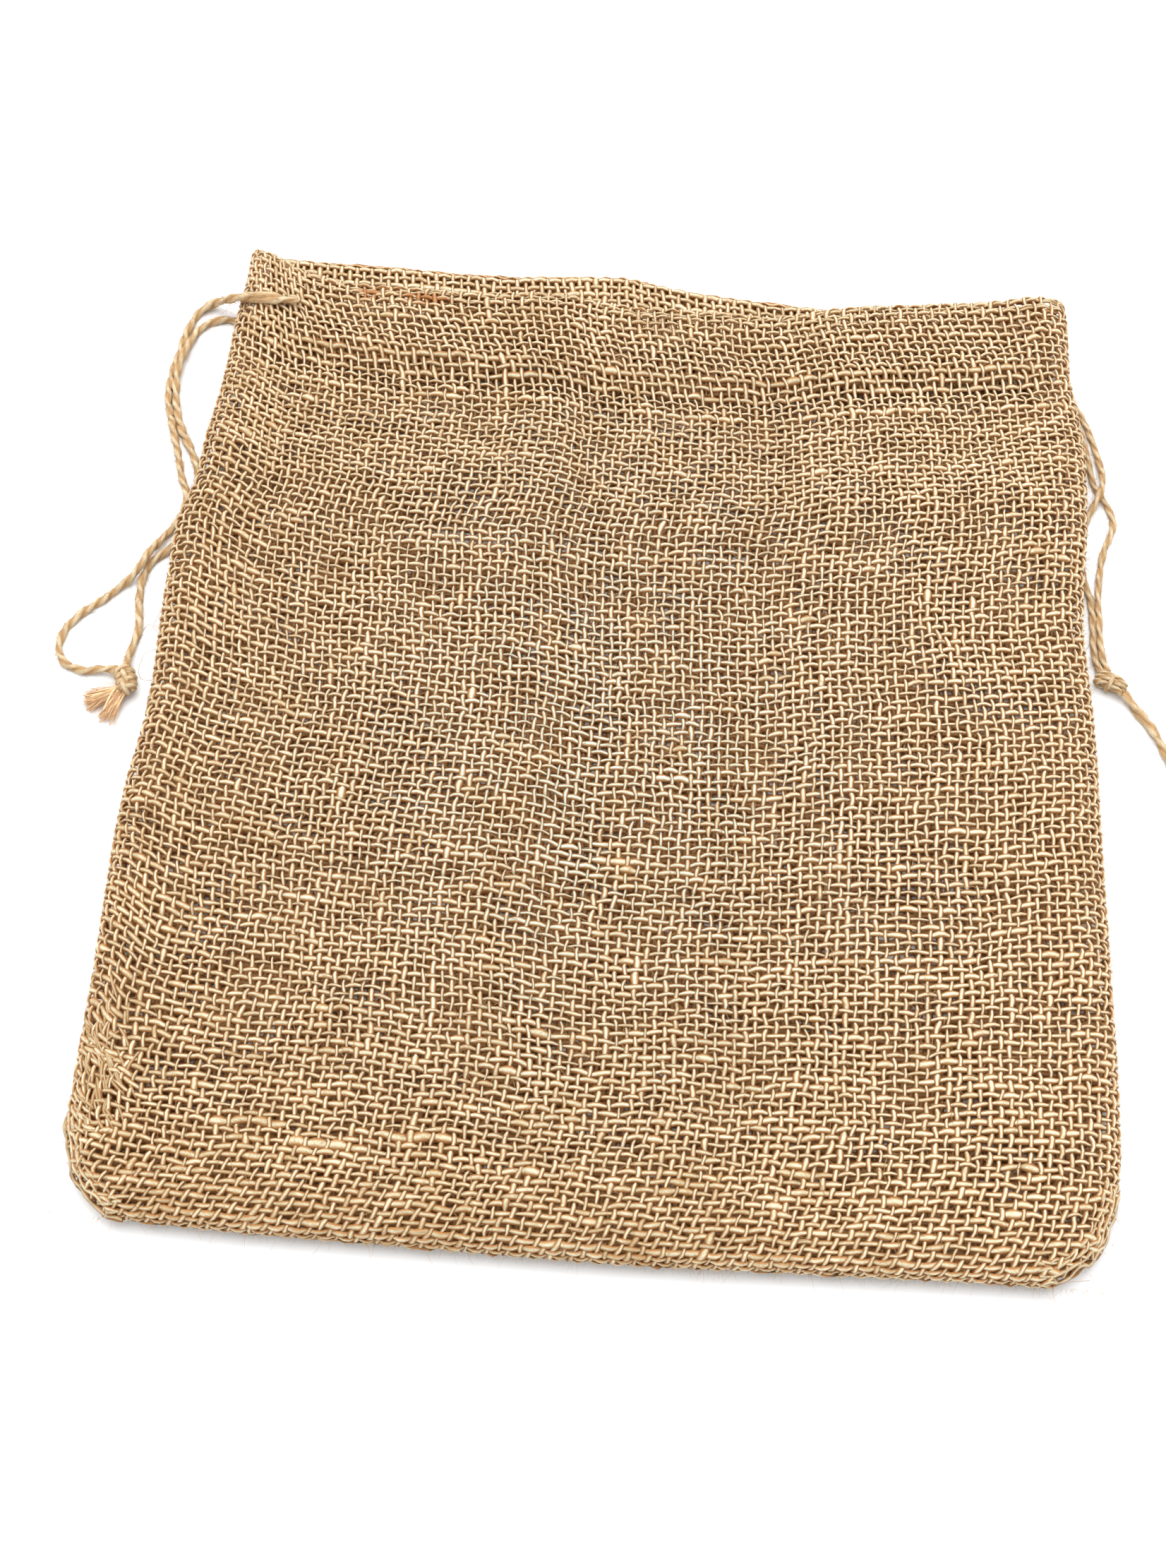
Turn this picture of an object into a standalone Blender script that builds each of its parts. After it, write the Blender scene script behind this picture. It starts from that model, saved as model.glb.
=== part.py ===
"""Jute drawstring sack, 25 x 30 cm, lying on its back panel with the mouth a little open.

Two cut panels of hessian meet along the side and bottom seams.  The top edge of each
panel is folded to the inside as a hem, which is the drawstring's channel.  At each side
two strands of twine come out of the hem, lie beside the sack and end in one knot.

Frame: +X to the right, +Y towards the mouth, +Z up, with the origin on the floor below
the middle of the sack.  Sizes in the tables are millimetres, and MM makes them metres.
"""
import math
from collections import namedtuple

import bmesh
import bpy
import numpy as np
from mathutils import Vector

MM = 0.001

# Cloth
CLOTH = 1.3                 # one layer of hessian
LAYER_GAP = 0.4             # air between the two layers of a hem
FOLD_DEPTH = 2.0 * CLOTH + LAYER_GAP
HEM_HEIGHT = 30.0           # from the mouth's edge down to the hem's stitch line

# Heights over the floor
SEAM_LIFT = 3.3             # underside of the back panel at the seams
SEAM_HEIGHT = 5.3           # lower edge of the front panel at the seams
CROWN_HEIGHT = 11.2         # top of the front panel away from the seams
BACK_LIFT_REACH = 14.0      # the back panel lies flat further in than this
FRONT_RIM_REACH = 12.0      # the front panel's rounded rim is this wide
CORNER_BLEND = 4.0          # how sharply the two rims meet at a corner; more is sharper
SEAM_TOUCH = 0.01           # a point this near a seam lies on it

# Grid lines across the cloth, as distances in from the two side seams or the bottom seam
RIM_STEPS = (0.0, 0.7, 2.2, 5.0, 9.5)
FRONT_COLUMNS = 24          # between the rims
FRONT_ROWS = 20             # between the bottom rim and the hem
BACK_COLUMNS = 14
BACK_ROWS = 11
HEM_STEPS = (0.0, 8.0, 16.0, 23.0, 28.5)
FOLD_ANGLES = (45.0, 0.0, -45.0, -90.0)
FLAP_STEPS = (8.0, 16.0, 24.0, 29.0)

# The sack before its mouth and bottom edges are bowed
BOTTOM_LINE = -149.0
MOUTH_LINE = 135.0
WARP_REACH = 75.0           # the mouth's wave dies away over this much cloth below the hem

# Twine
LEFT_TWINE = 1.8
RIGHT_TWINE = 1.4
TAIL_TWINE = 2.2
POINT_SPACING = 2.5         # along a strand, in diameters

OutlineRow = namedtuple("OutlineRow", "y left right")
OUTLINE = (
    OutlineRow(-149.0, -110.5, 108.5),
    OutlineRow(-145.8, -115.2, 114.6),
    OutlineRow(-141.8, -119.2, 119.0),
    OutlineRow(-136.8, -122.4, 122.2),
    OutlineRow(-129.0, -124.5, 124.4),
    OutlineRow(-116.0, -124.8, 125.8),
    OutlineRow(-96.0, -125.3, 126.2),
    OutlineRow(-71.0, -126.3, 126.1),
    OutlineRow(-41.0, -127.3, 125.8),
    OutlineRow(-11.0, -125.4, 125.9),
    OutlineRow(12.0, -126.6, 125.9),
    OutlineRow(37.0, -127.7, 126.0),
    OutlineRow(53.0, -127.6, 126.2),
    OutlineRow(62.0, -125.0, 127.1),
    OutlineRow(85.0, -124.6, 127.7),
    OutlineRow(96.0, -122.8, 127.4),
    OutlineRow(106.0, -122.6, 126.2),
    OutlineRow(114.0, -122.6, 124.8),
    OutlineRow(126.0, -122.5, 124.6),
    OutlineRow(137.0, -121.6, 124.8),
    OutlineRow(143.0, -121.7, 124.6),
    OutlineRow(146.5, -121.7, 123.6),
    OutlineRow(150.2, -121.7, 120.8),
)

MouthPoint = namedtuple("MouthPoint", "x front back")
MOUTH = (
    MouthPoint(-122.0, 149.6, 150.0),
    MouthPoint(-113.0, 145.0, 150.8),
    MouthPoint(-104.0, 139.2, 150.9),
    MouthPoint(-96.0, 136.8, 150.3),
    MouthPoint(-87.0, 134.8, 151.4),
    MouthPoint(-75.0, 134.6, 149.9),
    MouthPoint(-64.0, 134.6, 149.0),
    MouthPoint(-43.0, 134.9, 148.8),
    MouthPoint(-28.0, 136.4, 150.1),
    MouthPoint(-14.0, 133.4, 151.6),
    MouthPoint(-3.0, 132.0, 150.3),
    MouthPoint(4.0, 131.9, 148.4),
    MouthPoint(19.0, 131.9, 145.5),
    MouthPoint(38.0, 131.4, 144.4),
    MouthPoint(50.0, 134.6, 142.8),
    MouthPoint(60.0, 137.1, 142.2),
    MouthPoint(77.0, 138.9, 142.8),
    MouthPoint(97.0, 141.3, 144.8),
    MouthPoint(112.0, 144.4, 146.6),
    MouthPoint(123.5, 146.2, 147.2),
)

BottomPoint = namedtuple("BottomPoint", "x y")
BOTTOM = (
    BottomPoint(-111.0, -149.2),
    BottomPoint(-83.0, -150.4),
    BottomPoint(-43.0, -151.0),
    BottomPoint(7.0, -151.6),
    BottomPoint(40.0, -151.0),
    BottomPoint(77.0, -150.2),
    BottomPoint(109.0, -149.8),
)

# Soft troughs (negative) and ridges (positive) that the packing left in the front panel
Crease = namedtuple("Crease", "x0 y0 x1 y1 width height")
CREASES = (
    Crease(-14.0, 88.0, -1.0, -105.0, 9.0, -1.1),
    Crease(67.0, 70.0, 74.0, -118.0, 9.0, -1.1),
    Crease(-24.0, -28.0, 116.0, -18.0, 8.0, 0.8),
    Crease(-105.0, 92.0, -110.0, 5.0, 8.0, -1.1),
    Crease(-110.0, 5.0, -104.0, -122.0, 8.0, -1.1),
    Crease(-120.0, -128.0, -115.5, -111.0, 5.0, -1.6),
    Crease(-112.0, 106.0, 20.0, 99.0, 5.0, -0.6),
    Crease(20.0, 99.0, 118.0, 111.0, 5.0, -0.6),
    Crease(-96.0, 113.0, -30.0, 102.0, 5.0, 0.7),
    Crease(-75.0, 126.0, -45.0, 119.0, 6.0, 0.6),
    Crease(-60.0, 60.0, -30.0, -60.0, 14.0, 0.5),
    Crease(30.0, 40.0, 34.0, -120.0, 16.0, 0.4),
    Crease(10.0, 20.0, 10.0, -70.0, 60.0, -0.7),
)
CREASE_CLEAR_OF_RIM = 16.0  # creases fade to nothing at the seams

# Strands, each from its hem to its knot
RoutePoint = namedtuple("RoutePoint", "x y z")
LEFT_A = (
    RoutePoint(-102.5, 124.6, 12.6), RoutePoint(-109.9, 125.2, 12.5),
    RoutePoint(-117.2, 126.1, 11.5), RoutePoint(-122.8, 127.7, 8.9),
    RoutePoint(-127.0, 130.0, 5.1), RoutePoint(-131.4, 130.9, 2.2),
    RoutePoint(-135.4, 127.8, 0.95), RoutePoint(-137.6, 120.6, 0.95),
    RoutePoint(-138.4, 112.6, 0.95), RoutePoint(-139.2, 106.6, 0.95),
    RoutePoint(-139.4, 99.6, 0.95), RoutePoint(-138.6, 93.0, 0.95),
    RoutePoint(-135.4, 83.1, 0.95), RoutePoint(-133.2, 76.8, 0.95),
    RoutePoint(-130.4, 67.3, 0.95), RoutePoint(-128.0, 61.7, 0.95),
    RoutePoint(-127.6, 56.4, 0.95), RoutePoint(-129.1, 50.6, 0.95),
    RoutePoint(-131.4, 45.9, 1.3), RoutePoint(-134.3, 38.9, 3.0),
    RoutePoint(-135.7, 34.8, 3.1), RoutePoint(-138.0, 30.9, 2.1),
    RoutePoint(-141.5, 27.5, 0.95), RoutePoint(-144.8, 23.7, 0.95),
    RoutePoint(-148.5, 20.2, 0.95), RoutePoint(-151.6, 16.4, 0.95),
    RoutePoint(-153.6, 12.4, 0.95), RoutePoint(-154.0, 7.6, 0.95),
    RoutePoint(-152.6, 3.9, 0.95), RoutePoint(-149.9, 1.6, 0.95),
    RoutePoint(-145.3, 0.3, 1.1), RoutePoint(-141.1, 0.8, 1.7),
    RoutePoint(-136.5, 0.4, 2.5),
)
LEFT_B = (
    RoutePoint(-120.3, 125.2, 0.95), RoutePoint(-124.0, 125.9, 0.95),
    RoutePoint(-128.2, 125.9, 0.95), RoutePoint(-132.0, 124.0, 0.95),
    RoutePoint(-134.6, 120.6, 1.1), RoutePoint(-135.9, 116.2, 1.7),
    RoutePoint(-136.9, 110.6, 2.5), RoutePoint(-137.5, 104.6, 2.3),
    RoutePoint(-137.2, 98.2, 1.4), RoutePoint(-135.8, 91.2, 0.95),
    RoutePoint(-132.9, 83.3, 0.95), RoutePoint(-129.4, 77.1, 0.95),
    RoutePoint(-126.3, 70.2, 0.95), RoutePoint(-124.9, 61.5, 0.95),
    RoutePoint(-125.6, 52.6, 0.95), RoutePoint(-128.4, 43.4, 0.95),
    RoutePoint(-131.6, 39.4, 0.95), RoutePoint(-134.0, 36.4, 0.95),
    RoutePoint(-135.2, 31.4, 0.95), RoutePoint(-135.0, 25.8, 0.95),
    RoutePoint(-134.4, 21.2, 0.95), RoutePoint(-133.5, 16.4, 0.95),
    RoutePoint(-133.5, 11.8, 0.95), RoutePoint(-134.1, 7.8, 1.3),
    RoutePoint(-134.2, 4.4, 2.2), RoutePoint(-134.0, 1.4, 2.5),
)
RIGHT_C = (
    RoutePoint(123.4, 118.6, 0.75), RoutePoint(125.2, 114.2, 0.75),
    RoutePoint(127.7, 109.0, 0.75), RoutePoint(129.8, 103.4, 0.75),
    RoutePoint(131.4, 97.0, 0.75), RoutePoint(132.6, 90.0, 1.3),
    RoutePoint(132.9, 84.6, 2.3), RoutePoint(131.9, 79.4, 2.5),
    RoutePoint(130.0, 75.0, 1.4), RoutePoint(128.4, 71.4, 0.75),
    RoutePoint(126.6, 65.0, 0.75), RoutePoint(125.6, 57.5, 0.75),
    RoutePoint(126.3, 49.6, 0.75), RoutePoint(127.5, 43.6, 0.75),
    RoutePoint(127.9, 36.8, 0.75), RoutePoint(127.7, 29.4, 0.75),
    RoutePoint(127.9, 23.4, 1.2), RoutePoint(129.0, 19.1, 2.0),
)
RIGHT_D = (
    RoutePoint(121.6, 116.4, 0.75), RoutePoint(123.3, 112.2, 0.75),
    RoutePoint(125.6, 107.6, 0.75), RoutePoint(127.5, 102.6, 0.75),
    RoutePoint(128.9, 95.4, 0.75), RoutePoint(129.8, 88.0, 0.75),
    RoutePoint(131.0, 82.2, 0.75), RoutePoint(133.4, 77.4, 0.75),
    RoutePoint(135.4, 71.3, 0.75), RoutePoint(134.6, 66.1, 0.75),
    RoutePoint(132.1, 59.8, 0.75), RoutePoint(130.6, 51.6, 0.75),
    RoutePoint(129.8, 43.7, 0.75), RoutePoint(129.7, 36.7, 0.75),
    RoutePoint(129.6, 29.4, 0.75), RoutePoint(129.9, 24.0, 1.2),
    RoutePoint(130.8, 19.2, 2.0),
)
RIGHT_TAIL = (
    RoutePoint(134.9, 13.1, 2.1), RoutePoint(138.1, 8.1, 1.4),
    RoutePoint(141.9, 2.7, 1.15), RoutePoint(144.5, -3.2, 1.15),
    RoutePoint(146.6, -9.6, 1.15), RoutePoint(148.2, -16.2, 1.15),
    RoutePoint(148.6, -22.6, 1.15),
)

Knot = namedtuple("Knot", "x y z length width height turn_deg")
LEFT_KNOT = Knot(-133.9, -2.6, 2.5, 7.6, 5.8, 4.8, 80.0)
RIGHT_KNOT = Knot(131.3, 15.8, 2.3, 8.6, 5.4, 4.4, -24.0)
KNOT_SEGMENTS = 16
KNOT_RINGS = 11
KNOT_WINDINGS = 3           # ridges of twine round the knot
KNOT_RIDGE = 0.08           # their height, as a share of the knot's radius

# The frayed end below the left knot: locks that fan out from one root
TASSEL_ROOT = RoutePoint(-136.4, -6.8, 1.6)
TASSEL_ROOT_RADIUS = 1.15
TasselFan = namedtuple("TasselFan", "first_deg last_deg locks length")
TASSEL_FANS = (
    TasselFan(186.0, 216.0, 5, 9.6),
    TasselFan(240.0, 262.0, 3, 9.0),
)
LOCK_ROOT_RADIUS = 0.7
LOCK_TIP_RADIUS = 0.42

# Colour, roughness
JUTE_CLOTH = ((0.50, 0.33, 0.17, 1.0), 0.92)
JUTE_TWINE = ((0.58, 0.37, 0.17, 1.0), 0.85)


def clear_scene():
    for old in list(bpy.data.objects):
        bpy.data.objects.remove(old, do_unlink=True)


def make_material(name, finish):
    colour, roughness = finish
    material = bpy.data.materials.new(name)
    material.use_nodes = True
    shader = material.node_tree.nodes["Principled BSDF"]
    shader.inputs["Base Color"].default_value = colour
    shader.inputs["Roughness"].default_value = roughness
    shader.inputs["Metallic"].default_value = 0.0
    return material


def smooth_step(t):
    t = min(max(t, 0.0), 1.0)
    return t * t * (3.0 - 2.0 * t)


def between(rows, key, value, name):
    """Read column `name` where column `key` is `value`, as a smooth curve through the rows."""
    keys = [getattr(row, key) for row in rows]
    values = [getattr(row, name) for row in rows]
    last = len(keys) - 1
    i = int(np.clip(np.searchsorted(keys, value) - 1, 0, last - 1))
    span = keys[i + 1] - keys[i]
    t = min(max((value - keys[i]) / span, 0.0), 1.0)
    before, after = max(i - 1, 0), min(i + 2, last)
    slope_0 = (values[i + 1] - values[before]) / (keys[i + 1] - keys[before]) * span
    slope_1 = (values[after] - values[i]) / (keys[after] - keys[i]) * span
    t2, t3 = t * t, t * t * t
    return ((2 * t3 - 3 * t2 + 1) * values[i] + (t3 - 2 * t2 + t) * slope_0
            + (3 * t2 - 2 * t3) * values[i + 1] + (t3 - t2) * slope_1)


def across(row_y, columns, side):
    """The x of every grid column on one row: close together at the rims, even between."""
    left = between(OUTLINE, "y", cloth_y(MOUTH[0].x, row_y, side), "left")
    right = between(OUTLINE, "y", cloth_y(MOUTH[-1].x, row_y, side), "right")
    inner = np.linspace(left + RIM_STEPS[-1], right - RIM_STEPS[-1], columns)
    return ([left + step for step in RIM_STEPS[:-1]] + list(inner)
            + [right - step for step in reversed(RIM_STEPS[:-1])])


def cloth_y(x, row_y, side):
    """Bow a straight row to the bottom seam's curve and to the mouth's wave."""
    from_bottom = smooth_step((row_y - BOTTOM_LINE) / WARP_REACH)
    hem_line = MOUTH_LINE - HEM_HEIGHT
    to_mouth = smooth_step((row_y - hem_line + WARP_REACH) / WARP_REACH)
    bottom_bow = between(BOTTOM, "x", x, "y") - BOTTOM_LINE
    mouth_wave = between(MOUTH, "x", x, side) - MOUTH_LINE
    return row_y + (1.0 - from_bottom) * bottom_bow + to_mouth * mouth_wave


def seam_distance(x, y):
    """Distance in from the nearest seam, blended where the side and bottom seams meet."""
    left, right = between(OUTLINE, "y", y, "left"), between(OUTLINE, "y", y, "right")
    side = max(min(x - left, right - x), SEAM_TOUCH)
    bottom = max(y - between(BOTTOM, "x", x, "y"), SEAM_TOUCH)
    blended = (side ** -CORNER_BLEND + bottom ** -CORNER_BLEND) ** (-1.0 / CORNER_BLEND)
    return blended - SEAM_TOUCH * 2.0 ** (-1.0 / CORNER_BLEND)


def quarter_round(distance, reach):
    t = 1.0 - min(max(distance / reach, 0.0), 1.0)
    return math.sqrt(1.0 - t * t)


def crease_height(x, y):
    total = 0.0
    for crease in CREASES:
        start = Vector((crease.x0, crease.y0))
        along = Vector((crease.x1, crease.y1)) - start
        t = min(max((Vector((x, y)) - start).dot(along) / along.length_squared, 0.0), 1.0)
        off = (Vector((x, y)) - start - along * t).length
        total += crease.height * math.exp(-(off / crease.width) ** 2)
    return total


def front_height(x, y):
    """Height of the front panel's outer face."""
    inwards = seam_distance(x, y)
    arch = quarter_round(inwards, FRONT_RIM_REACH)
    inside = smooth_step(inwards / CREASE_CLEAR_OF_RIM)
    return SEAM_HEIGHT + (CROWN_HEIGHT - SEAM_HEIGHT) * arch + inside * crease_height(x, y)


def back_height(x, y):
    """Height of the back panel's underside: flat on the floor, lifted at the seams."""
    near_seam = 1.0 - min(seam_distance(x, y) / BACK_LIFT_REACH, 1.0)
    return SEAM_LIFT * near_seam * near_seam


def cloth_rows(inner_rows):
    """Straight rows from the bottom seam to where the mouth's fold begins."""
    bottom = [BOTTOM_LINE + step for step in RIM_STEPS]
    hem_line = MOUTH_LINE - HEM_HEIGHT
    body = list(np.linspace(bottom[-1], hem_line, inner_rows + 2))[1:-1]
    hem = [hem_line + step for step in HEM_STEPS]
    return bottom + body + hem


def cloth_panel(name, side, height, columns, inner_rows, inwards, material):
    """One cut panel with its folded hem: an open sheet of its outer face, then Solidify.

    `inwards` is the direction of the sack's inside in z: -1 for the front, +1 for the back.
    """
    sheet = bmesh.new()

    def add(x, y, z):
        return sheet.verts.new((x * MM, y * MM, z * MM))

    grid = []
    for row_y in cloth_rows(inner_rows):
        row = []
        for x in across(row_y, columns, side):
            y = cloth_y(x, row_y, side)
            row.append(add(x, y, height(x, y)))
        grid.append(row)

    # The hem turns over the mouth's edge and runs back down inside, clear of the side seams.
    first = len(RIM_STEPS) - 1
    last = first + columns
    radius = 0.5 * FOLD_DEPTH
    mouth_row = MOUTH_LINE - radius
    flap = [grid[-1][first:last]]
    turns = [(radius * math.cos(math.radians(a)) - radius, radius * (1 - math.sin(math.radians(a))))
             for a in FOLD_ANGLES]
    turns += [(-step, FOLD_DEPTH) for step in FLAP_STEPS]
    for back_by, depth in turns:
        row = []
        for x in across(mouth_row, columns, side)[first:last]:
            edge = cloth_y(x, MOUTH_LINE, side)
            y = edge + back_by
            outer = height(x, min(y, edge - radius))
            row.append(add(x, y, outer + inwards * depth))
        flap.append(row)

    for rows in (grid, flap):
        for lower, upper in zip(rows, rows[1:]):
            for k in range(len(lower) - 1):
                sheet.faces.new((lower[k], lower[k + 1], upper[k + 1], upper[k]))
    if inwards > 0:
        bmesh.ops.reverse_faces(sheet, faces=sheet.faces)

    mesh = bpy.data.meshes.new(name)
    sheet.to_mesh(mesh)
    sheet.free()
    mesh.shade_smooth()
    panel = bpy.data.objects.new(name, mesh)
    panel.data.materials.append(material)
    thickness = panel.modifiers.new("cloth", "SOLIDIFY")
    thickness.thickness = CLOTH * MM
    thickness.offset = -1.0
    thickness.use_even_offset = True
    return panel


def smooth_route(points, spacing):
    """Even points along a Catmull-Rom curve through the route's own points."""
    knots = [Vector(p) for p in points]
    knots = [2 * knots[0] - knots[1]] + knots + [2 * knots[-1] - knots[-2]]
    fine = []
    for p0, p1, p2, p3 in zip(knots, knots[1:], knots[2:], knots[3:]):
        for t in np.linspace(0.0, 1.0, 12, endpoint=False):
            fine.append(0.5 * (2 * p1 + (p2 - p0) * t + (2 * p0 - 5 * p1 + 4 * p2 - p3) * t * t
                               + (3 * p1 - p0 - 3 * p2 + p3) * t ** 3))
    fine.append(knots[-2])
    fine = np.array(fine)
    run = np.concatenate(([0.0], np.cumsum(np.linalg.norm(np.diff(fine, axis=0), axis=1))))
    stops = np.linspace(0.0, run[-1], int(round(run[-1] / spacing)) + 1)
    return [[float(np.interp(s, run, fine[:, axis])) for axis in range(3)] for s in stops]


def twine(name, route, diameter, material):
    curve = bpy.data.curves.new(name, "CURVE")
    curve.dimensions = "3D"
    curve.bevel_depth = 0.5 * diameter * MM
    curve.bevel_resolution = 2
    curve.use_fill_caps = True
    points = smooth_route(route, POINT_SPACING * diameter)
    spline = curve.splines.new("POLY")
    spline.points.add(len(points) - 1)
    for slot, point in zip(spline.points, points):
        slot.co = (point[0] * MM, point[1] * MM, point[2] * MM, 1.0)
    curve.materials.append(material)
    return bpy.data.objects.new(name, curve)


def knot_solid(name, knot, material):
    """A tight overhand knot as one lumpy solid with the ridges of its windings."""
    mesh = bpy.data.meshes.new(name)
    body = bmesh.new()
    bmesh.ops.create_uvsphere(body, u_segments=KNOT_SEGMENTS, v_segments=KNOT_RINGS, radius=1.0)
    for vertex in body.verts:
        x, y, z = vertex.co
        around = math.atan2(z, y)
        wave = math.cos(KNOT_WINDINGS * math.pi * x + around)
        swell = 1.0 + KNOT_RIDGE * wave * (1.0 - x * x)
        vertex.co = (x * 0.5 * knot.length * MM, y * swell * 0.5 * knot.width * MM,
                     z * swell * 0.5 * knot.height * MM)
    body.to_mesh(mesh)
    body.free()
    mesh.shade_smooth()
    mesh.materials.append(material)
    solid = bpy.data.objects.new(name, mesh)
    solid.location = (knot.x * MM, knot.y * MM, knot.z * MM)
    solid.rotation_euler = (0.0, 0.0, math.radians(knot.turn_deg))
    return solid


def tassel_lock(root, direction_deg, length):
    """One four-sided lock of fibre from the root down to the floor, as a loose mesh object."""
    angle = math.radians(direction_deg)
    tip = Vector((root.x + length * math.cos(angle), root.y + length * math.sin(angle),
                  LOCK_TIP_RADIUS + 0.1))
    start = Vector(root)
    axis = tip - start
    mesh = bpy.data.meshes.new("lock")
    lock = bmesh.new()
    bmesh.ops.create_cone(lock, cap_ends=True, segments=4, radius1=LOCK_ROOT_RADIUS * MM,
                          radius2=LOCK_TIP_RADIUS * MM, depth=axis.length * MM)
    lock.to_mesh(mesh)
    lock.free()
    solid = bpy.data.objects.new("lock", mesh)
    solid.rotation_mode = "QUATERNION"
    solid.rotation_quaternion = axis.to_track_quat("Z", "Y")
    solid.location = (start + 0.5 * axis) * MM
    return solid


def tassel(name, material, parts, cutters):
    """The frayed end: a small root with its locks joined to it."""
    mesh = bpy.data.meshes.new(name)
    body = bmesh.new()
    bmesh.ops.create_icosphere(body, subdivisions=2, radius=TASSEL_ROOT_RADIUS * MM)
    body.to_mesh(mesh)
    body.free()
    mesh.materials.append(material)
    root = bpy.data.objects.new(name, mesh)
    root.location = Vector(TASSEL_ROOT) * MM
    parts.objects.link(root)
    for fan in TASSEL_FANS:
        for angle in np.linspace(fan.first_deg, fan.last_deg, fan.locks):
            lock = tassel_lock(TASSEL_ROOT, float(angle), fan.length)
            lock.hide_render = True
            lock.display_type = "WIRE"
            cutters.objects.link(lock)
            join = root.modifiers.new("lock", "BOOLEAN")
            join.operation = "UNION"
            join.object = lock


def main():
    clear_scene()
    parts = bpy.data.collections.new("jute_sack")
    cutters = bpy.data.collections.new("jute_sack_cutters")
    bpy.context.scene.collection.children.link(parts)
    bpy.context.scene.collection.children.link(cutters)
    cloth = make_material("jute_cloth", JUTE_CLOTH)
    string = make_material("jute_twine", JUTE_TWINE)

    solids = [
        cloth_panel("front_panel", "front", front_height, FRONT_COLUMNS, FRONT_ROWS, -1, cloth),
        cloth_panel("back_panel", "back", back_height, BACK_COLUMNS, BACK_ROWS, 1, cloth),
        twine("left_strand_a", LEFT_A, LEFT_TWINE, string),
        twine("left_strand_b", LEFT_B, LEFT_TWINE, string),
        twine("right_strand_c", RIGHT_C, RIGHT_TWINE, string),
        twine("right_strand_d", RIGHT_D, RIGHT_TWINE, string),
        twine("right_tail", RIGHT_TAIL, TAIL_TWINE, string),
        knot_solid("left_knot", LEFT_KNOT, string),
        knot_solid("right_knot", RIGHT_KNOT, string),
    ]
    for solid in solids:
        parts.objects.link(solid)
    tassel("left_tassel", string, parts, cutters)


main()
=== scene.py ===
"""Looks of the jute drawstring sack: woven panels, twine, knots, a frayed end, loose fibres.

Every yarn is a closed tube that follows its panel's surface, over and under the yarns that
cross it.  Places along the cloth are millimetres from the side and bottom seams; strings'
routes are metres in the frame.
"""
import math
from collections import namedtuple

import bpy
import numpy as np
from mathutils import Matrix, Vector


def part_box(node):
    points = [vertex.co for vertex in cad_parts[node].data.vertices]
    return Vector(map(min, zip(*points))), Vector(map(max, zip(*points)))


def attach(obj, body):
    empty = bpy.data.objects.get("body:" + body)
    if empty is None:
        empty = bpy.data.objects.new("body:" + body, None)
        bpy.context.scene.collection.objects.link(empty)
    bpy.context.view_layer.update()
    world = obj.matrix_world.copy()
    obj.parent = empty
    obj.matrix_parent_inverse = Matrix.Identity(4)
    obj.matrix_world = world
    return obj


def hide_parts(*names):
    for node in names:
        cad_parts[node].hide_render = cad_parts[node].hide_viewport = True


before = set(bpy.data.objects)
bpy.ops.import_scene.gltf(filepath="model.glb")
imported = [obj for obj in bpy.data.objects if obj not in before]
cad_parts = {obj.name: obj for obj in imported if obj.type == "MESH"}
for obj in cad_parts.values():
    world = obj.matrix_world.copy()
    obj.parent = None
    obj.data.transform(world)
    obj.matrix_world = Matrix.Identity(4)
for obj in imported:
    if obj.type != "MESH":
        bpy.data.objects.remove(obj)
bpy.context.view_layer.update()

MM = 0.001
UP = np.array([0.0, 0.0, 1.0])
rng = np.random.default_rng(2317)

# Camera: at the photograph's place and angle, with its field of view
CAMERA_PLACE = (0.00793, -0.27182, 0.4572)
CAMERA_TURN_DEG = (28.5, -0.156, 4.064)
CAMERA_LENS_MM = 45.385
CAMERA_SENSOR_MM = 36.0

# Cloth, in mm
WARP_PITCH = 2.44         # between neighbouring warps
WEFT_PITCH = 2.12         # between neighbouring wefts at the bottom seam
WEFT_GROWTH = 0.0049      # what the next one adds: they are beaten up less near the mouth
CLOTH = 1.3               # thickness of the panels' solids
FOLD_RADIUS = 1.5         # outer radius of the hem's fold
HEM_FLAP = 29.0           # the layer that is turned to the inside
CRIMP = 0.31              # how far a yarn swings to either side of the cloth's middle
CROSSING_TOP = 0.23       # a yarn is level this far each side of a crossing, in pitches
Yarn = namedtuple("Yarn", "half_width half_height spread tone")
WARP = Yarn(0.56, 0.37, 0.09, 0.58)       # spread: of one yarn's size against the next, as a share
WEFT = Yarn(0.66, 0.38, 0.12, 0.42)
SPARE_YARNS = 6           # past each edge, for where the weave is pulled inwards
CORNER_YARN_SIZE = (0.56, 0.40)
FOLD_YARN_SIZE = (0.55, 0.38)
LOOSE_YARN_SIZE = (0.50, 0.36)
EDGE_FULLNESS = 1.04      # the front's yarns are as much wider where it isn't worn
WORN_THINNER = 0.16       # of their width per share of bleaching
BACK_FULLNESS = 1.27      # the back's yarns are as much wider, for the fuzz it has less of
RIM_OVERRUN = 0.6         # yarns run this far past the edge of the solid, to the seam

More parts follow.
